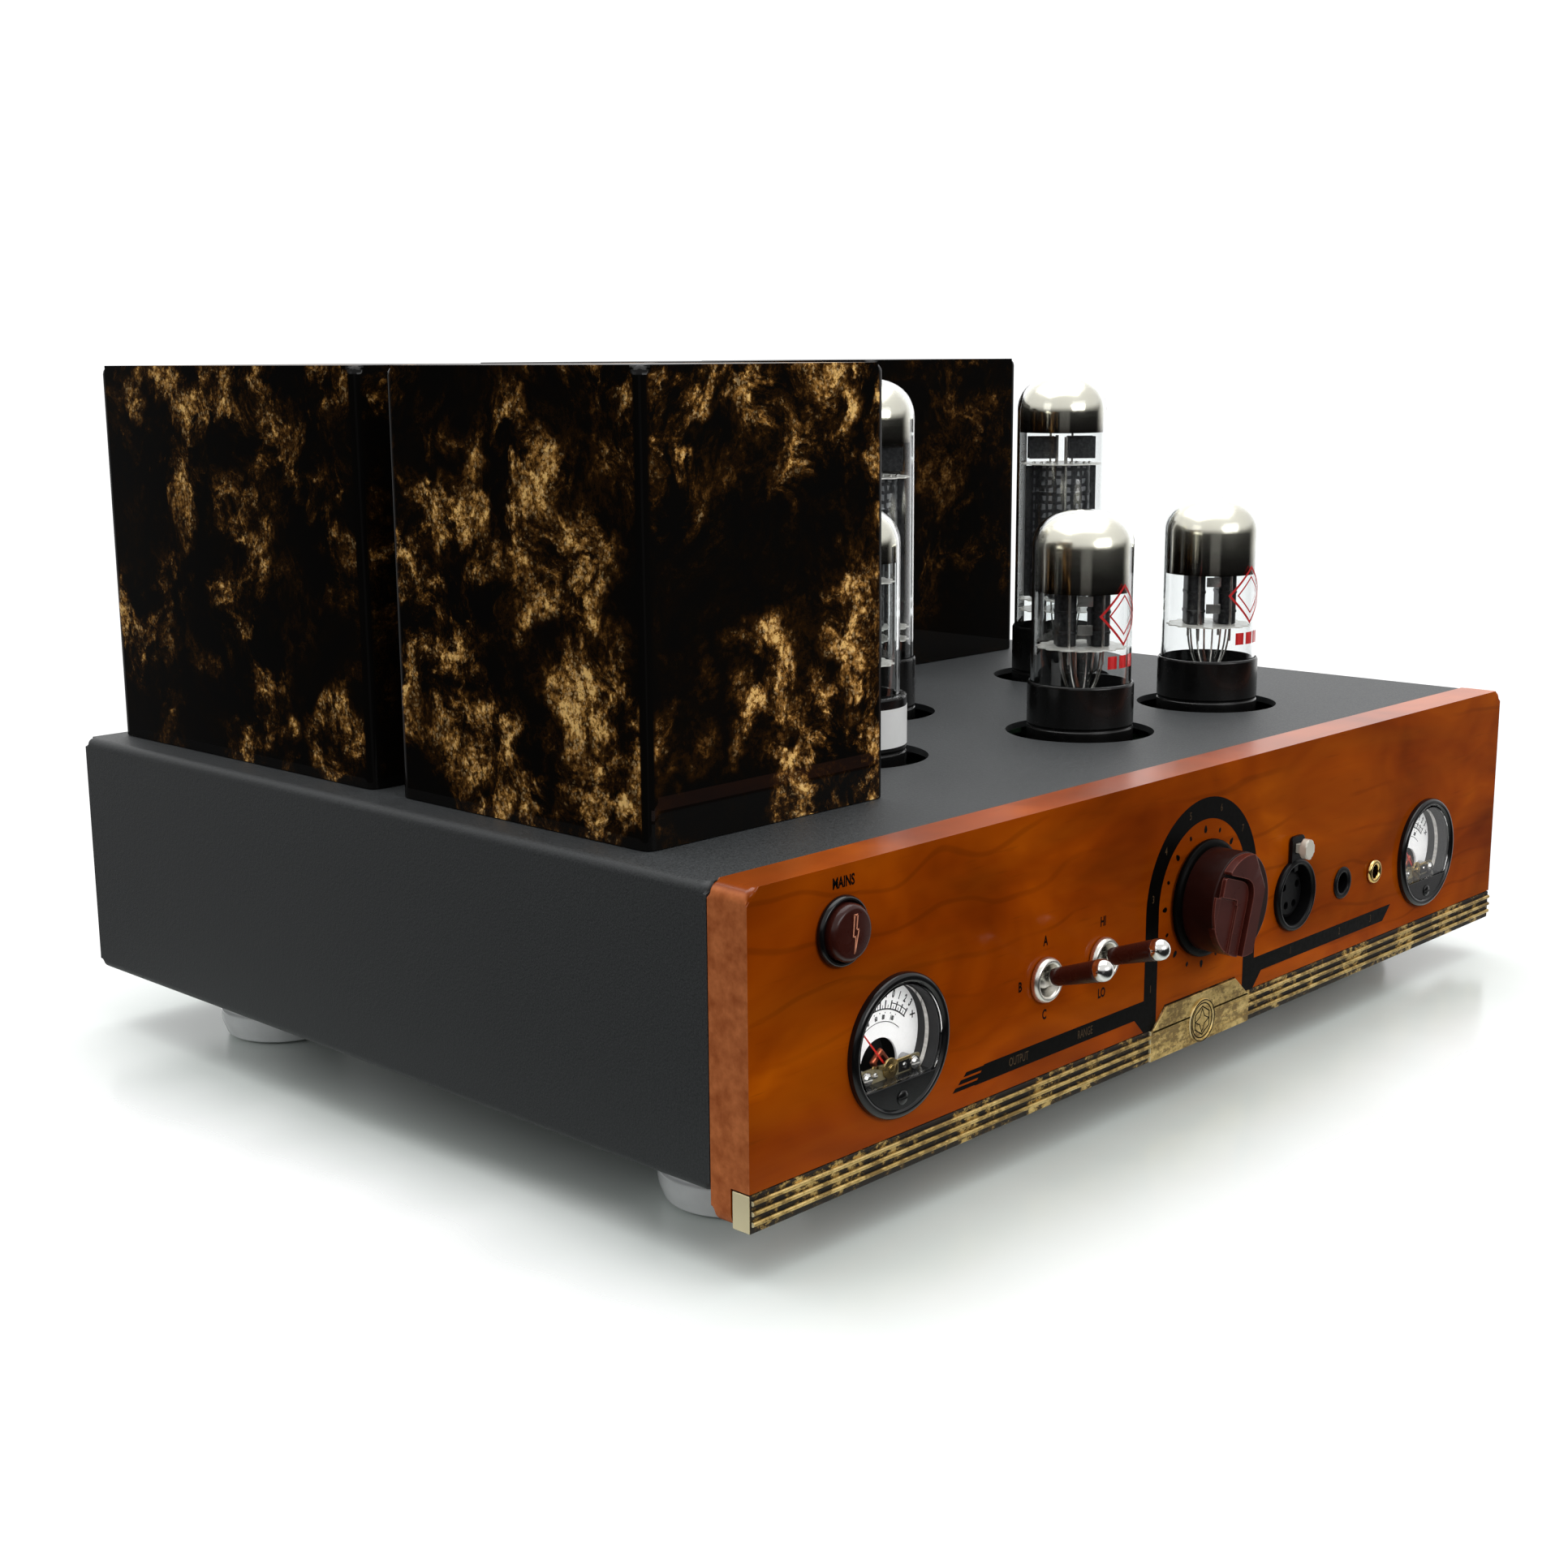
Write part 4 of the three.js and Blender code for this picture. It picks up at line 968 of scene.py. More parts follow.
def foot(node):
    low, high = limits(node)
    x, y, _ = (low + high) / 2
    radius, top = (high.x - low.x) / 2, high.z
    body = lathe(f"{node}_turned", [
        (0, 1.0), (radius - 5.5, 1.0), (radius - 4.6, 0.5, 0.3), (radius - 2.2, 0.9, 0.8),
        (radius - 0.6, 5.0, 1.5), (radius - 0.3, 9.0, 0.5), (radius - 1.3, 9.3, 0.3),
        (radius - 1.3, 10.6, 0.3), (radius, 10.9, 0.5),
        (radius, top - 0.9, 0.6), (radius - 0.9, top, 0.3), (0, top)], 96)
    place(paint(body, "foot_metal"), "chassis", "satin_aluminium", (x, y, 0), node)
    inner, outer = radius - 8.5, radius - 5.7
    pad = lathe(f"{node}_pad", [(inner, 1.2), (inner, 0, 0.4), (outer, 0, 0.4), (outer, 1.2)])
    place(paint(pad, "foot_rubber"), "chassis", "black_plastic", (x, y, 0))
    bolt = turned(screw(f"{node}_bolt", 4.2, 1.2, 0.9, cross=True), 90, "X")
    place(paint(bolt, "steel"), "chassis", "steel", (x, y, 1.4))


def cover(node):
    """A tall box with rounded edges, open below; built in place, so that the clouds differ by cover."""
    low, high = limits(node)
    corner, edge, wall = 3.4, 2.6, 3.0
    outline = rectangle(low.x, low.y, high.x, high.y, corner)
    box = prism(f"{node}_resin", outline, low.z - 8, high.z, "Z", edge, steps=4, corner_steps=6)
    cut(box, rounded_box("below", (low.x - 5, low.y - 5, low.z - 20), (high.x + 5, high.y + 5, low.z), 0),
        rounded_box("inside", (low.x + wall, low.y + wall, low.z - 5),
                    (high.x - wall, high.y - wall, high.z - wall)))
    soften(box, 0.2, angle=60)
    place(paint(box, "gloss_resin"), "chassis", "gloss_resin", ORIGIN, node)


# ---- Tubes --------------------------------------------------------------------------------------

def envelope(radius, top, dome, low):
    """Outer profile of a tube's glass, from its lower rim to the crown."""
    curve = [polar(1, 7.5 * i) for i in range(1, 12)]
    return [(radius, low), (radius, top - dome),
            *[(radius * u ** 0.82, top - dome + dome * v ** 0.95) for u, v in curve], (0, top)]


def tube_glass(name, size, low=-5.0):
    outer = envelope(size["radius"], size["glass"], size["dome"], low)
    inner = envelope(size["radius"] - 0.9, size["glass"] - 1.1, size["dome"] - 0.3, low)
    return paint(lathe(f"{name}_envelope", outer + list(reversed(inner)) + [outer[0]], 96), "tube_glass")


def tube_film(name, kind, size):
    """The silvery deposit just inside the glass."""
    inner = envelope(size["radius"] - 1.05, size["glass"] - 1.3, size["dome"] - 0.3, size["film"])
    return paint(lathe(f"{name}_getter", inner, 96), f"film_{kind}")


def tube_base(name, size):
    radius, top, floor = 16.85, size["base"], -8.0
    groove, seat = radius - 0.35, min(size["radius"] + 0.25, radius - 0.45)
    parts = [
        lathe("cup", [
            (0, floor), (radius - 1.4, floor, 0.6), (radius - 0.9, floor + 1.6, 0.4),
            (radius, floor + 2.2, 0.3),
            (radius, 1.6, 0.2), (groove, 1.9, 0.2), (groove, 2.5, 0.2), (radius, 2.8, 0.2),
            (radius, top - 0.6, 0.4),
            (groove, top, 0.2), (seat, top), (seat, floor + 2.5), (0, floor + 2.5)], 96),
        lathe("key", [(0, -22), (3.2, -22, 0.8), (3.95, -20.5, 0.5), (3.95, floor), (0, floor)], 24)]
    paint_all("tube_bakelite", *parts)
    for i in range(PIN_COUNT):
        pin = lathe("pin", [(0, -19), (0.8, -19, 0.3), (1.2, -18.2, 0.4), (1.2, floor), (0, floor)], 16)
        parts.append(paint(shifted(pin, *polar(PIN_CIRCLE, 360 * (i + 0.5) / PIN_COUNT)), "nickel"))
    return together(f"{name}_octal_base", parts)


def mica_discs(radius, *heights, teeth=16):
    """Toothed insulating discs."""
    outline = []
    for i in range(teeth * 2):
        r, turn = radius if i % 2 else radius - 1.1, 180 * i / teeth
        outline += [polar(r, turn - math.degrees(0.05)), polar(r, turn + math.degrees(0.05))]
    return paint_all("mica", *[prism("mica", outline, height, height + 0.4, "Z") for height in heights])


def anode(width, depth, low, high, x=0.0, finish="anode_metal", fins=True):
    """A pressed sheet anode: a rounded box with stiffening ribs and a flat fin on each side."""
    def shell(width, depth, low, high):
        outline = rectangle(x - width / 2, -depth / 2, x + width / 2, depth / 2, width * 0.45)
        return prism("anode", outline, low, high, "Z", edge=0.2, steps=1, corner_steps=6)

    parts = [shell(width, depth, low, high)]
    for share in (0.2, 0.5, 0.8):
        z = low + (high - low) * share
        parts.append(shell(width + 0.5, depth + 0.5, z - 0.5, z + 0.5))
    if fins:
        for edge in (x - width * 0.5, x + width * 0.5):
            parts.append(rounded_box("fin", (edge - 0.2, -depth * 0.084, low),
                                     (edge + 0.2, depth * 0.084, high), 0.1))
    return paint_all(finish, *parts)


def stem_and_leads(high, spread, count=8):
    """Glass press at the bottom, and the wires that rise from it to the lower mica."""
    low = -4.5
    press = lathe("press", [(0, low), (9.5, low), (8.0, low + 3, 1), (4.0, low + 8, 2), (3.2, low + 15, 1),
                            (0, low + 15.5)], 40)
    parts = [paint(press, "stem_glass")]
    for i in range(count):
        u, v = polar(1, 360 * (i + 0.5) / count)
        foot_at, top_at = Vector((2.2 * u, 0.9 * v, low + 14)), Vector((spread * u, spread * 0.8 * v, high))
        bend = foot_at.lerp(top_at, 0.45) + Vector((u * 1.2, v * 1.2, -0.6))
        parts.append(paint(wire("lead", [foot_at, bend, top_at], 0.32), "nickel"))
    return parts


def rods(radius, low, high, *places):
    return paint_all("nickel", *[bar("rod", radius, low, high, "Z", at, 12) for at in places])


def getter_support(low, high):
    """Two posts that carry the getter's ring."""
    ring = wire("ring", [(*polar(4.4, 30 * i), high) for i in range(12)], 0.6, True)
    return [*rods(0.4, low, high, (-4, 0), (4, 0)), paint(ring, "nickel")]


def driver_electrodes():
    low, high = 27.0, 49.0
    parts = stem_and_leads(low, 7.5) + mica_discs(14.2, low - 0.2, high)
    for x in (-5.3, 5.3):
        parts += anode(6.0, 11.0, low + 0.4, high - 0.2, x, fins=False)
        parts += rods(0.45, low - 5, high + 4, (x, -7.4), (x, 7.4))
    ties = [rounded_box("tie", (-2.4, -5.8, z), (2.4, -5.3, z + 3.2), 0.1) for z in (low + 4.0, low + 13.0)]
    return parts + paint_all("nickel", *ties) + getter_support(high, 58.0)


def power_electrodes():
    low, high = 29.0, 78.0
    parts = stem_and_leads(low, 8.5) + mica_discs(14.6, low - 0.5, low - 4.5, high)
    parts += anode(21.0, 15.5, low + 0.4, high - 0.4, 0, "anode_net")
    plates = [rounded_box("fin", (x - 1.3, -0.5, low + 0.6), (x + 1.3, 0.5, high - 0.6),
                          0.15) for x in (-11.6, 11.6)]
    parts += rods(0.6, low - 7, high + 10, (0, -9.4), (0, 9.4))
    for side in (-1, 1):
        for y in (-2.5, 2.5):
            plates.append(rounded_box("radiator", (side * 7.2 - 4.9, y - 0.35, high + 2),
                                      (side * 7.2 + 4.9, y + 0.35, high + 10), 0.2))
        for k in range(4):
            rivet = lathe("rivet", [(0, 0), (0.7, 0), (0.5, 0.5, 0.2), (0, 0.6)], 12)
            parts.append(paint(shifted(rivet, side * (3 + 2.4 * k), -4.0 + 2.2 * (k % 2), high + 0.4),
                               "nickel"))
    return parts + paint_all("anode_metal", *plates) + getter_support(high, 92.0)


def rectifier_electrodes():
    low, high = 28.0, 52.0
    parts = stem_and_leads(low, 6.5, 6) + mica_discs(13.2, low - 0.3, high)
    for x in (-5.2, 5.2):
        parts += anode(7.6, 12.0, low + 0.3, high - 0.3, x)
        parts += rods(0.5, low - 6, high + 4, (x, -7.0), (x, 7.0))
    return parts + getter_support(high, 62.0)


ELECTRODES = {"driver": driver_electrodes, "power": power_electrodes, "rectifier": rectifier_electrodes}


def wrap(obj, radius):
    """Bends a flat print that faces -Y round the Z axis."""
    for vert in obj.data.vertices:
        x, y, z = vert.co / MM
        turn, r = x / radius, radius - y
        vert.co = Vector((r * math.sin(turn), -r * math.cos(turn), z)) * MM
    return obj


def tube_print(name, radius):
    """Red print on the glass: a double diamond over three short bars."""
    parts = []
    for size, width in ((9.2, 0.75), (6.0, 0.5)):
        corners = [(size, 0), (0, size), (-size, 0), (0, -size)]
        dense = [(a[0] + (b[0] - a[0]) * k / 8, a[1] + (b[1] - a[1]) * k / 8)
                 for a, b in zip(corners, corners[1:] + corners[:1]) for k in range(8)]
        parts.append(stroke("line", dense, width, 0.05, 0, True))
    for x in (-6.5, -1.9, 2.7):
        parts.append(prism("bar", rectangle(x, -16.6, x + 3.5, -12.6), -0.05, 0))
    return paint(wrap(together(f"{name}_print", parts), radius + 0.02), "red_ink")


def tube(name, kind):
    size = TUBE_SIZES[kind]
    where = centre(f"{name}_base")
    at = (where.x, where.y, DECK)
    body = f"{name}_tube"
    place(tube_glass(name, size), body, "tube_glass", at, f"{name}_glass")
    place(tube_film(name, kind, size), body, "tube_metal", at)
    place(tube_base(name, size), body, "tube_bakelite", at, f"{name}_base")
    electrodes = turned(together(f"{name}_electrode_set", ELECTRODES[kind]()), ELECTRODE_TURN, "Z")
    place(electrodes, body, "tube_metal", at, f"{name}_electrodes")
    if kind == "driver":
        place(shifted(tube_print(name, size["radius"]), z=38.0), body, "needle_red", at)
    if kind == "rectifier":
        label = lathe(f"{name}_label", [(16.86, 4.0), (16.95, 4.0), (16.95, 15.6), (16.86, 15.6)], 96)
        place(paint(label, "white_band"), body, "dial_paint", at)


# ---- Meters -------------------------------------------------------------------------------------

PIVOT_DROP = 6.6  # the needle's pivot below the meter's centre
SILL = -9.0
DIAL_Y = 6.4


def meter_housing(side):
    """Bezel and cup with a ledge across the lower part of the mouth; faces -Y."""
    shell = lathe("shell", [(0, 24), (17, 24), (17, 0), (18.5, 0), (18.5, -1.5, 0.5), (17.7, -2.3, 0.5),
                            (16.6, -2.3, 0.3),
                            (15.9, -1.5, 0.3), (15.4, 2.0), (15.4, 22), (0, 22)], 96, "Y")
    start = math.degrees(math.asin(SILL / 16.0))
    ledge = prism("ledge", arc(16.0, 180 - start, 360 + start, 24), -1.75, 5.2, "Y", 0.25)
    liner = lathe("liner", [(15.4, -0.4), (15.15, -0.4), (15.15, DIAL_Y + 2), (15.4, DIAL_Y + 2),
                            (15.4, -0.4)], 96, "Y")
    # A bright nickel band on the cup's wall stands for the reflected light band seen there: painted
    # reflection.
    rim = lathe("rim", [(15.15, 2.6), (14.85, 2.6), (14.85, 3.8), (15.15, 3.8), (15.15, 2.6)], 96, "Y")
    parts = paint_all("gloss_black", shell, ledge) + [paint(liner, "grey_liner"), paint(rim, "nickel")]
    return together(f"meter_case_{side}", parts)


DIAL_TICKS = ((-46, "20"), (-33, "10"), (-24, "7"), (-15.5, "5"), (-5, "3"), (2, "2"), (9.5, "1"),
              (18, "0"),
              (26, "1"), (34, "2"), (42, "3"))
DIAL_SMALL = ((-38, "20"), (-20, "40"), (-5, "60"), (8, "80"), (24, "100"))


def meter_dial(side):
    """White card with the level scale and an opening for the coil below it."""
    pivot, proud, sunk = -PIVOT_DROP, DIAL_Y - PRINT, DIAL_Y + SUNK
    card = prism("card", arc(15.3, -34, 214, 62), DIAL_Y, DIAL_Y + 0.6)
    paint(cut(card, bar("mouth", 7.0, DIAL_Y - 2, DIAL_Y + 2, "Y", (0, pivot))), "painted_dial")
    ink = []

    def line(inner, outer, start, end, steps=2):
        ink.append(shifted(ring_line("line", inner, outer, proud, start, end, steps, sunk), z=pivot))

    def figure(radius, degrees, text, size, weight):
        x, z = clock(radius, degrees)
        ink.append(shifted(turned(lettering("figure", text, size, 0.6, weight), degrees, "Y"), x, proud,
                           pivot + z))

    line(14.0, 14.35, -46, 44, 40)
    line(10.9, 11.1, -46, 44, 40)
    for degrees, text in DIAL_TICKS:
        line(14.0, 16.4, degrees - 0.8, degrees + 0.8)
        figure(18.0, degrees, text, 2.0, 0.1)
    for (first, _), (second, _) in zip(DIAL_TICKS, DIAL_TICKS[1:]):
        middle = (first + second) / 2
        line(14.0, 15.2, middle - 0.35, middle + 0.35)
    for k in range(9):
        line(13.1, 13.4, -44 + 9 * k, -42.8 + 9 * k)
    line(15.6, 15.85, 18, 42, 12)
    for degrees, text in DIAL_SMALL:
        figure(12.1, degrees, text, 1.2, 0.06)
    for x, z, width, height in ((-9.6, 8.6, 2.8, 0.5), (11.9, 10.0, 2.0, 0.4),
                                (12.7, 9.2, 0.4, 2.0)):  # minus and plus
        ink.append(rounded_box("sign", (x, proud, pivot + z), (x + width, sunk, pivot + z + height), 0))
    return together(f"meter_card_{side}", [card, *paint_all("dial_ink", *ink)])


def meter_movement(side):
    """Coil and bridge of the movement, in front of the card; the pivot is the origin."""
    front = DIAL_Y - 4.0
    parts = paint_all("black_plastic", bar("back", 7.4, DIAL_Y + 5, DIAL_Y + 6),
                      bar("core", 3.4, DIAL_Y - 0.4, DIAL_Y + 5, segments=40),
                      rounded_box("plate", (3.4, front + 0.15, -2.0), (7.4, front + 0.5, 0.7), 0.12))
    coil = cut(rounded_box("coil", (-2.6, DIAL_Y - 2.2, -4.6), (2.6, DIAL_Y - 0.6, 4.9), 0.8),
               rounded_box("bore", (-1.5, front, -3.4), (1.5, DIAL_Y + 2, 3.6), 0.4))
    parts.append(paint(turned(coil, NEEDLE_REST, "Y"), "copper"))
    bridge = prism("bridge", rectangle(-11.6, -2.8, 11.6, 1.4, 0.6), front + 0.4, front + 1.0, edge=0.15)
    parts.append(paint(bridge, "bronze"))
    for x in (-11.0, 11.0):
        parts.append(paint(bar("post", 1.7, front, DIAL_Y, "Y", (x * 0.82, -0.6), 24), "steel"))
        parts += paint_all("chrome", shifted(screw("head", 1.8, 1.0, 0.4), x * 0.82, front, -0.6),
                           shifted(screw("head", 0.9, 0.6, 0.3), x * 0.5, front + 0.5, -0.5))
    disc = lathe("disc", [(0, 0), (2.7, 0), (2.7, -0.5, 0.15), (1.2, -0.7, 0.1), (1.1, -1.1, 0.2),
                          (0, -1.2)], 40, "Y")
    arm = stroke("arm", [(0, 0), (-5.4, 1.6), (-6.6, 1.9)], 0.7, 0.35)
    parts += paint_all("bright_brass", rounded_box("lever", (2.6, front, 0.9), (7.8, front + 0.6, 1.6),
                                                   0.12),
                       shifted(disc, y=front + 0.4), shifted(arm, y=front))
    return together(f"meter_movement_{side}", parts)


def meter_needle(side):
    """Red pointer on its hub, at rest on the left; the pivot is the origin."""
    pointer = prism("pointer", [(-0.30, 1.0), (0.30, 1.0), (0.14, 16.7), (-0.14, 16.7)], -0.3, -0.1)
    tail = prism("tail", [(-0.6, -3.2, 0.3), (0.6, -3.2, 0.3), (0.35, 0), (-0.35, 0)], -0.3, -0.1)
    hub = bar("hub", 1.1, -0.55, 0.3, segments=24)
    return turned(paint(together(f"meter_pointer_{side}", [pointer, tail, hub]), "needle_red"), NEEDLE_REST,
                  "Y")


def meter(side):
    at = on_face(f"meter_housing_{side}")
    place(meter_housing(side), "chassis", "black_plastic", at, f"meter_housing_{side}")
    place(meter_dial(side), "chassis", "dial_paint", at, f"meter_dial_{side}")
    pivot = at - Vector((0, 0, PIVOT_DROP))
    place(meter_movement(side), "chassis", "brass", pivot)
    place(meter_needle(side), f"needle_{side}", "needle_red", pivot + Vector((0, DIAL_Y - 2.5, 0)),
          f"meter_needle_{side}")
    zero = paint(screw(f"meter_zero_{side}", 1.9, 0.7, 0.6), "gloss_black")
    place(zero, "chassis", "black_plastic", at + Vector((0, -1.7, -13.2)))
    start = math.degrees(math.asin((SILL + 0.4) / 15.5))
    window = prism(f"meter_pane_{side}", arc(15.5, start, 180 - start, 60), -1.6, -0.9, edge=0.1)
    place(paint(window, "clear_window"), "chassis", "clear_window", at, f"meter_window_{side}")


# ---- Controls and sockets -----------------------------------------------------------------------

def toggle(side):
    at = on_face(f"toggle_body_{side}")
    shell = lathe("shell", [(3.6, 8), (3.6, 1.0, 0.5), (4.5, -2.0, 0.3), (5.0, -2.5, 0.4), (5.6, -2.4, 0.5),
                            (6.2, -1.5, 0.5),
                            (6.2, -0.3, 0.2), (5.0, -0.3), (5.0, 14), (3.6, 14), (3.6, 8)], 64, "Y")
    box = rounded_box("box", (-6.5, 13.5, -6.5), (6.5, 25, 6.5), 0.6)
    lugs = [rounded_box("lug", (x - 0.4, 24.5, -2.4), (x + 0.4, 29, 2.4), 0.2) for x in (-3.5, 0, 3.5)]
    parts = [paint(shell, "satin_silver"), paint(box, "black_plastic"),
             *paint_all("nickel", bar("seat", 3.7, 7.2, 7.8, segments=32), *lugs)]
    place(together(f"toggle_bushing_{side}", parts), "chassis", "chrome", at, f"toggle_body_{side}")
    reach, tip = 20.0, 3.05
    neck = lathe("neck", [(0, 3), (1.6, 2.5, 0.5), (2.7, 0, 1), (1.7, -2.0, 0.8), (2.15, -3.9, 0.4),
                          (2.15, -5.0), (0, -5.0)], 48, "Y")
    sleeve = lathe("sleeve", [(0, -4.2), (2.3, -4.2, 0.2), (2.45, -4.8, 0.3), (2.95, 1.8 - reach, 0.2),
                              (2.8, 1.2 - reach),
                              (0, 1.2 - reach)], 64, "Y")
    ball = lathe("ball", [(0, 1.3 - reach), (2.8, 1.3 - reach, 0.2), (tip, 0.9 - reach, 0.2),
                          *[(u, -reach - v) for u, v in arc(tip, 0, 80, 8)], (0, -reach - tip)], 64, "Y")
    parts = [paint(neck, "chrome"), paint(sleeve, "brown_bakelite"), paint(ball, "chrome")]
    lever = turned(together(f"toggle_stick_{side}", parts), LEVER_REST, "X")
    place(lever, f"toggle_{side}", "brown_bakelite", at + Vector((0, 0.4, 0)), f"toggle_lever_{side}")


def power_switch():
    at = on_face("power_bezel")
    bezel = lathe("power_ring", [(7.3, 10), (7.3, -1.2, 0.3), (7.7, -2.0, 0.3), (8.3, -1.9, 0.4),
                                 (8.75, -1.0, 0.4), (8.75, -0.3, 0.2),
                                 (7.6, -0.3), (7.6, 26), (0, 26), (0, 10), (7.3, 10)], 96, "Y")
    place(paint(bezel, "gloss_black"), "chassis", "black_plastic", at, "power_bezel")
    cap = lathe("power_cap", [(0, 7), (7.1, 7), (7.1, -3.2, 0.9), (6.3, -4.3, 0.9), (3.4, -4.6, 1),
                              (0, -4.7)], 96, "Y")
    place(paint(cap, "brown_bakelite"), "power_button", "brown_bakelite", at, "power_button")
    zigzag = [(-0.2, 4.6), (0.85, 4.6), (0.45, 1.0), (1.25, 1.0), (-0.15, -4.7), (0.15, -0.6),
              (-0.75, -0.6)]
    mark = stroke("power_mark", zigzag, 0.28, 4.78, -4.5, True)
    place(paint(mark, "copper_line"), "power_button", "brass", at)


def volume_knob():
    """Round knob: arched steps on the left of its face and a two-part slope on the right."""
    face, seat = -15.0, -11.0

    def within(part, radius):
        return keep(part, bar("disc", radius, -40, 5, segments=160))

    skirt = lathe("skirt", [(0, -2.4), (15.2, -2.4), (15.2, -12.5, 0.5), (0, -12.5)], 128, "Y")
    ring = lathe("ring", [(0, -0.8), (17.4, -0.8), (17.4, -2.0, 0.5), (16.4, -2.7, 0.5), (0, -2.7)], 128,
                 "Y")
    second = prism("second", [(-12.6, -30), (1.1, -30), (1.1, 6.5, 5.2), (-12.6, 6.5, 1.3)], -13.8, seat,
                   corner_steps=8)
    top_arch = [(2.1, -30), (30, -30), (30, 30), (-12.4, 30), (-12.4, 7.4, 0.8), (2.1, 7.4, 6.0)]
    main = within(prism("main", top_arch, face, seat, corner_steps=8), 14.9)
    for turn, reach in ((-45, 9.3), (0, 7.5)):
        slope = turned(rounded_box("slope", (0, -30, -40), (30, 0, 40), 0), KNOB_SLOPE, "Z")
        cut(main, turned(shifted(slope, reach, face), turn, "Y"))
    third = within(prism("third", [(-30, -30), (-3.9, -30), (-3.9, 0.4, 2.0), (-30, 0.4)], -13.15, seat),
                   15.0)
    within(second, 15.2)
    cut(second, rounded_box("groove", (-4.9, -16, -30), (-3.9, -12.6, -0.6), 0.2))
    cut(second, rounded_box("low", (-30, -20, -30), (-4.5, -13.1, 0.8), 0))
    steps = [soften(part, 0.5, 3, 30) for part in (second, main, third)]
    for part in (skirt, ring):
        cut(part, bar("bore", 3.1, -10.5, 3))
    # The skirt takes the darker bakelite copy: painted shade on the knob's side.
    parts = [paint(skirt, "shaded_bakelite"), *paint_all("grip_bakelite", *steps), paint(ring, "black_ink")]
    knob = turned(together("volume_grip", parts), KNOB_REST, "Y")
    place(knob, "volume_control", "brown_bakelite", (0, FACE, centre("volume_shaft").z), "volume_knob")


def locking_socket():
    at = Vector((SOCKET_PLACE.x, FACE, SOCKET_PLACE.z))
    shell = lathe("shell", [(0, 26), (10.9, 26), (10.9, -0.3), (11.4, -0.3), (11.4, -1.3, 0.5),
                            (10.8, -2.0, 0.5), (10.0, -2.0, 0.4),
                            (9.4, -1.2, 0.3), (9.4, 12), (0, 12)], 96, "Y")
    lug = prism("lug", rectangle(-3.7, 9.5, 3.7, 18.8, 0.5, 1.6), -1.4, -0.3, edge=0.25)
    cut(lug, rounded_box("bore", (-1.7, -3, 13.3), (1.7, 2, 16.7), 0))
    insert = lathe("insert", [(0, 0.9), (6.4, 0.9, 0.3), (7.6, 1.6, 0.3), (7.6, 13), (0, 13)], 64, "Y")
    contacts = [(-3.9, 2.6), (3.9, 2.6), (-2.3, -3.4), (2.3, -3.4)]
    cut(insert, *[bar("hole", 1.25, -1, 11, "Y", spot, 24) for spot in contacts])
    key = rounded_box("key", (-1.1, -0.9, 7.4), (1.1, 8, 9.7), 0.2)
    socket = together("locking_socket_shell", [shell, lug, insert, key])
    place(paint(socket, "black_plastic"), "chassis", "black_plastic", at, "locking_socket")
    clips = together("locking_socket_contacts", [bar("clip", 0.85, 4.0, 9.0, "Y", spot,
                                                     16) for spot in contacts])
    place(paint(clips, "gold_plate"), "chassis", "gold_plate", at)
    button = prism("button", rectangle(-2.6, 11.9, 2.6, 18.1, 2.5), -5.4, -3.1, edge=0.6, steps=4,
                   corner_steps=8)
    stem = rounded_box("stem", (-1.4, -3.6, TAB_RISE - 1.4), (1.4, 9, TAB_RISE + 1.4), 0.2)
    tab = together("locking_tab", [button, stem])
    place(paint(tab, "pale_metal"), "socket_tab", "chrome", at, "locking_socket_tab")


def jack(node, ring, bore, proud, finish):
    collar = ring - 0.6
    body = lathe("body", [
        (bore, 24), (bore, 0.5 - proud, 0.2), (bore + 0.4, -proud, 0.3), (ring - 0.35, -proud, 0.5),
        (ring, -proud * 0.45, 0.3), (ring, -0.3), (collar, -0.3), (collar, 28), (0, 28), (0, 24),
        (bore, 24)], 64, "Y")
    spring = paint(rounded_box("spring", (-0.6, 9, bore - 0.9), (0.6, 18, bore - 0.5), 0.1), "nickel")
    place(together(f"{node}_socket", [paint(body, finish), spring]), "chassis", finish, on_face(node), node)


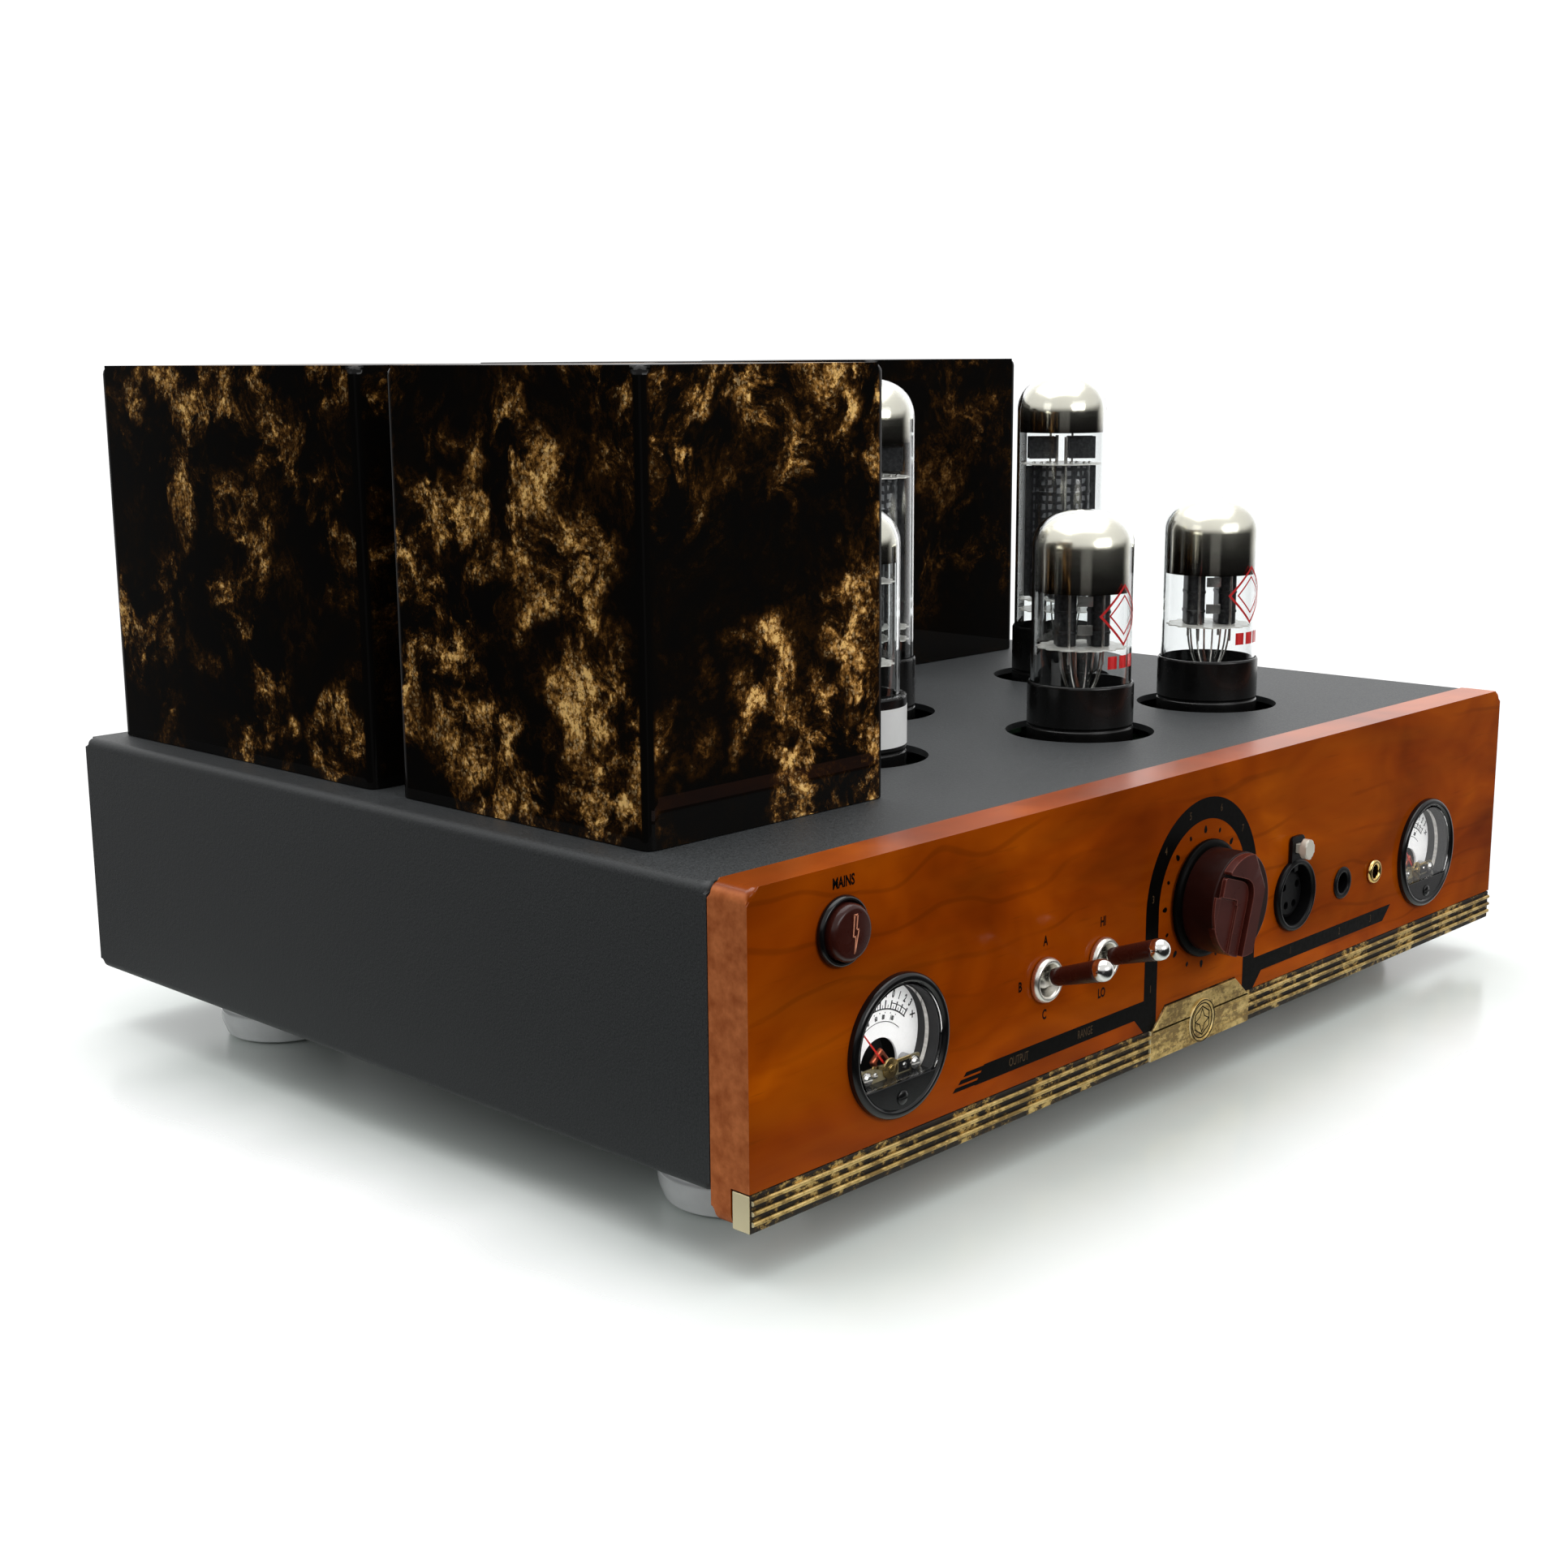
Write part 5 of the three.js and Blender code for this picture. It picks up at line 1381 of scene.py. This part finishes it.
def rear_connectors():
    where = centre("mains_inlet")
    inlet = combine(rounded_box("body", (-13.5, -26, -10), (13.5, 1, 10), 0.4),
                    [rounded_box("flange", (-23.5, 0.3, -11.5), (23.5, 3, 11.5), 0.8)], "UNION")
    cut(inlet, prism("recess", [(-12, -8, 0.8), (12, -8, 0.8), (12, 3.5, 0.5), (7.5, 8, 0.5),
                                (-7.5, 8, 0.5), (-12, 3.5, 0.5)], -17, 5))
    soften(inlet, 0.15, 1, 60)
    blades = [rounded_box("blade", (x - 1, -18, z - 2.5), (x + 1, -1, z + 2.5), 0.35)
              for x, z in ((-7, -1), (0, 3), (7, -1))]
    heads = [shifted(turned(screw("head", 2.6, 1.2, 0.6, cross=True), 180, "Z"), x, 2.9, 0)
             for x in (-19, 19)]
    parts = [paint(inlet, "black_plastic"), *paint_all("nickel", *blades),
             *paint_all("screw_black", *heads)]
    place(together("mains_inlet_assembly", parts), "chassis", "black_plastic", (where.x, REAR, where.z),
          "mains_inlet")

    where = centre("input_sockets")
    parts = [paint(rounded_box("plate", (-23, -4, -11), (23, -2.3, 11), 0.3), "black_plastic")]
    for x, band in ((-11, "white_ring"), (11, "red_ink")):
        barrel = lathe("barrel", [(0, -14), (5, -14), (5, 0.3), (6.2, 0.3), (6.2, 1.8, 0.4), (4.15, 1.8),
                                  (4.15, 7.9, 0.3),
                                  (3.8, 8.3, 0.2), (3.4, 8.3), (3.4, -2), (0, -2)], 48, "Y")
        core = lathe("core", [(0, -2.5), (3.3, -2.5), (3.3, 5.0, 0.3), (1.7, 5.6, 0.2), (1.7, 0), (0, 0)],
                     40, "Y")
        washer = lathe("washer", [(4.3, 1.7), (5.7, 1.7), (5.7, 2.6, 0.3), (4.3, 2.6)], 48, "Y")
        parts += [shifted(part, x) for part in (paint(barrel, "gold_plate"),
                                                *paint_all(band, core, washer))]
    place(together("input_socket_pair", parts), "chassis", "gold_plate", (where.x, REAR, where.z),
          "input_sockets")


# ---- CAD nodes shown as they are ----------------------------------------------------------------

CARRIED = {
    "powder_coat": ["bottom_plate"],
    "circuit_board": ["circuit_board"],
    "steel": ["volume_shaft", "volume_potentiometer"],
    "tube_ceramic": [f"{name}_socket" for name in TUBES],
    "laminations": ["filter_choke", "mains_transformer", "output_left_transformer",
                    "output_right_transformer"],
}


def carried_nodes():
    for finish, nodes in CARRIED.items():
        for node in nodes:
            shade(paint(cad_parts[node], finish), 30)


def bottom_screws():
    """Screws that hold the bottom plate, along its edge."""
    low, high = limits("bottom_plate")
    left, right, inset = low.x + 7, high.x - 7, 7
    spots = [(x, y) for x in (left, 0, right) for y in (low.y + inset, high.y - inset)]
    spots += [(x, (low.y + high.y) / 2) for x in (left, right)]
    heads = [shifted(turned(screw("head", 3.0, 1.2, 0.7, cross=True), 90, "X"), x, y, low.z)
             for x, y in spots]
    place(paint(together("bottom_screws", heads), "screw_black"), "chassis", "steel")


# ---- Surroundings -------------------------------------------------------------------------------

def floor():
    bm = bmesh.new()
    bmesh.ops.create_grid(bm, x_segments=1, y_segments=1, size=FLOOR_REACH)
    paint(object_from("floor", bm), "pale_floor")


def view_axes():
    """The camera's right, up and forward directions."""
    turn, pitch, roll = (math.radians(a) for a in VIEW_ANGLES)
    ahead = Vector((math.sin(turn) * math.cos(pitch), math.cos(turn) * math.cos(pitch), -math.sin(pitch)))
    right = Vector((math.cos(turn), -math.sin(turn), 0))
    up = right.cross(ahead)
    return right * math.cos(roll) + up * math.sin(roll), up * math.cos(roll) - right * math.sin(roll), ahead


def sky(ahead):
    """Bright ahead of the photo's camera and overhead, dim elsewhere; plain white to the camera's eye."""
    n = Nodes("surroundings", bpy.data.worlds.new("surroundings"))
    scene.world = n.owner
    n.tree.nodes.clear()
    direction = n.add("TexCoord").outputs["Generated"]
    along = n.vector("DOT_PRODUCT", direction, Vector((ahead.x, ahead.y, 0)).normalized())["Value"]
    backdrop = n.span(along, 0.12, 0.8, 0.015, 1.25)
    overhead = n.span(n.split(direction)["Z"], 0.06, 0.36, 0.0, 0.85)
    back = n.span(along, -0.955, -0.985, 0.0, 0.12)
    light = n.math("MAXIMUM", n.math("MAXIMUM", backdrop, overhead), back)
    path = n.add("LightPath").outputs
    through = n.times(path["Is Transmission Ray"], n.math("LESS_THAN", path["Glossy Depth"], 0.5))
    seen = n.math("MAXIMUM", path["Is Camera Ray"], through)
    strength = n.add("Mix", {0: seen, 2: light, 3: 1.15}, data_type="FLOAT").outputs[0]
    background = n.add("Background", {"Color": (1, 1, 1), "Strength": strength})
    n.tree.links.new(background.outputs[0], n.add("OutputWorld").inputs["Surface"])


def lamp(name, at, aim, size, power):
    """A soft rectangular lamp; places and sizes are in metres."""
    data = bpy.data.lights.new(name, "AREA")
    data.shape = "RECTANGLE"
    data.size, data.size_y = size
    data.energy = power
    obj = linked(name, data)
    obj.location = at
    obj.rotation_euler = (Vector(aim) - Vector(at)).to_track_quat("-Z", "Y").to_euler()


def view(right, up, ahead):
    data = bpy.data.cameras.new("camera")
    data.sensor_fit = "HORIZONTAL"
    data.sensor_width = 36
    data.lens = LENS
    data.clip_start = 0.01
    scene.camera = linked("camera", data)
    matrix = Matrix((right, up, -ahead)).transposed().to_4x4()
    matrix.translation = Vector(CAMERA) * MM
    scene.camera.matrix_world = matrix
    scene.view_settings.view_transform = "Standard"
    scene.view_settings.look = "None"


chassis_case()
front_board()
brass_strip()
printed_marks()
for corner in ("front_left", "front_right", "rear_left", "rear_right"):
    foot(f"foot_{corner}")
for use in ("choke", "mains", "output_left", "output_right"):
    cover(f"cover_{use}")
for tube_name, tube_kind in TUBES.items():
    tube(tube_name, tube_kind)
for hand in ("left", "right"):
    meter(hand)
    toggle(hand)
power_switch()
volume_knob()
locking_socket()
jack("large_jack", 5.25, 3.3, 0.9, "black_plastic")
jack("small_jack", 4.0, 2.25, 1.4, "gold_plate")
rear_connectors()
carried_nodes()
bottom_screws()
floor()
axes = view_axes()
sky(axes[2])
lamp("overhead", at=(0.1, 0.1, 1.3), aim=ORIGIN, size=(1.6, 1.3), power=16)
lamp("front_fill", at=(-0.1, -1.6, 0.75), aim=(0.05, -0.1, 0.05), size=(1.1, 0.5), power=7)
lamp("left_fill", at=(-1.7, 0.2, 0.9), aim=(0, 0, 0.05), size=(0.7, 0.7), power=1)
view(*axes)
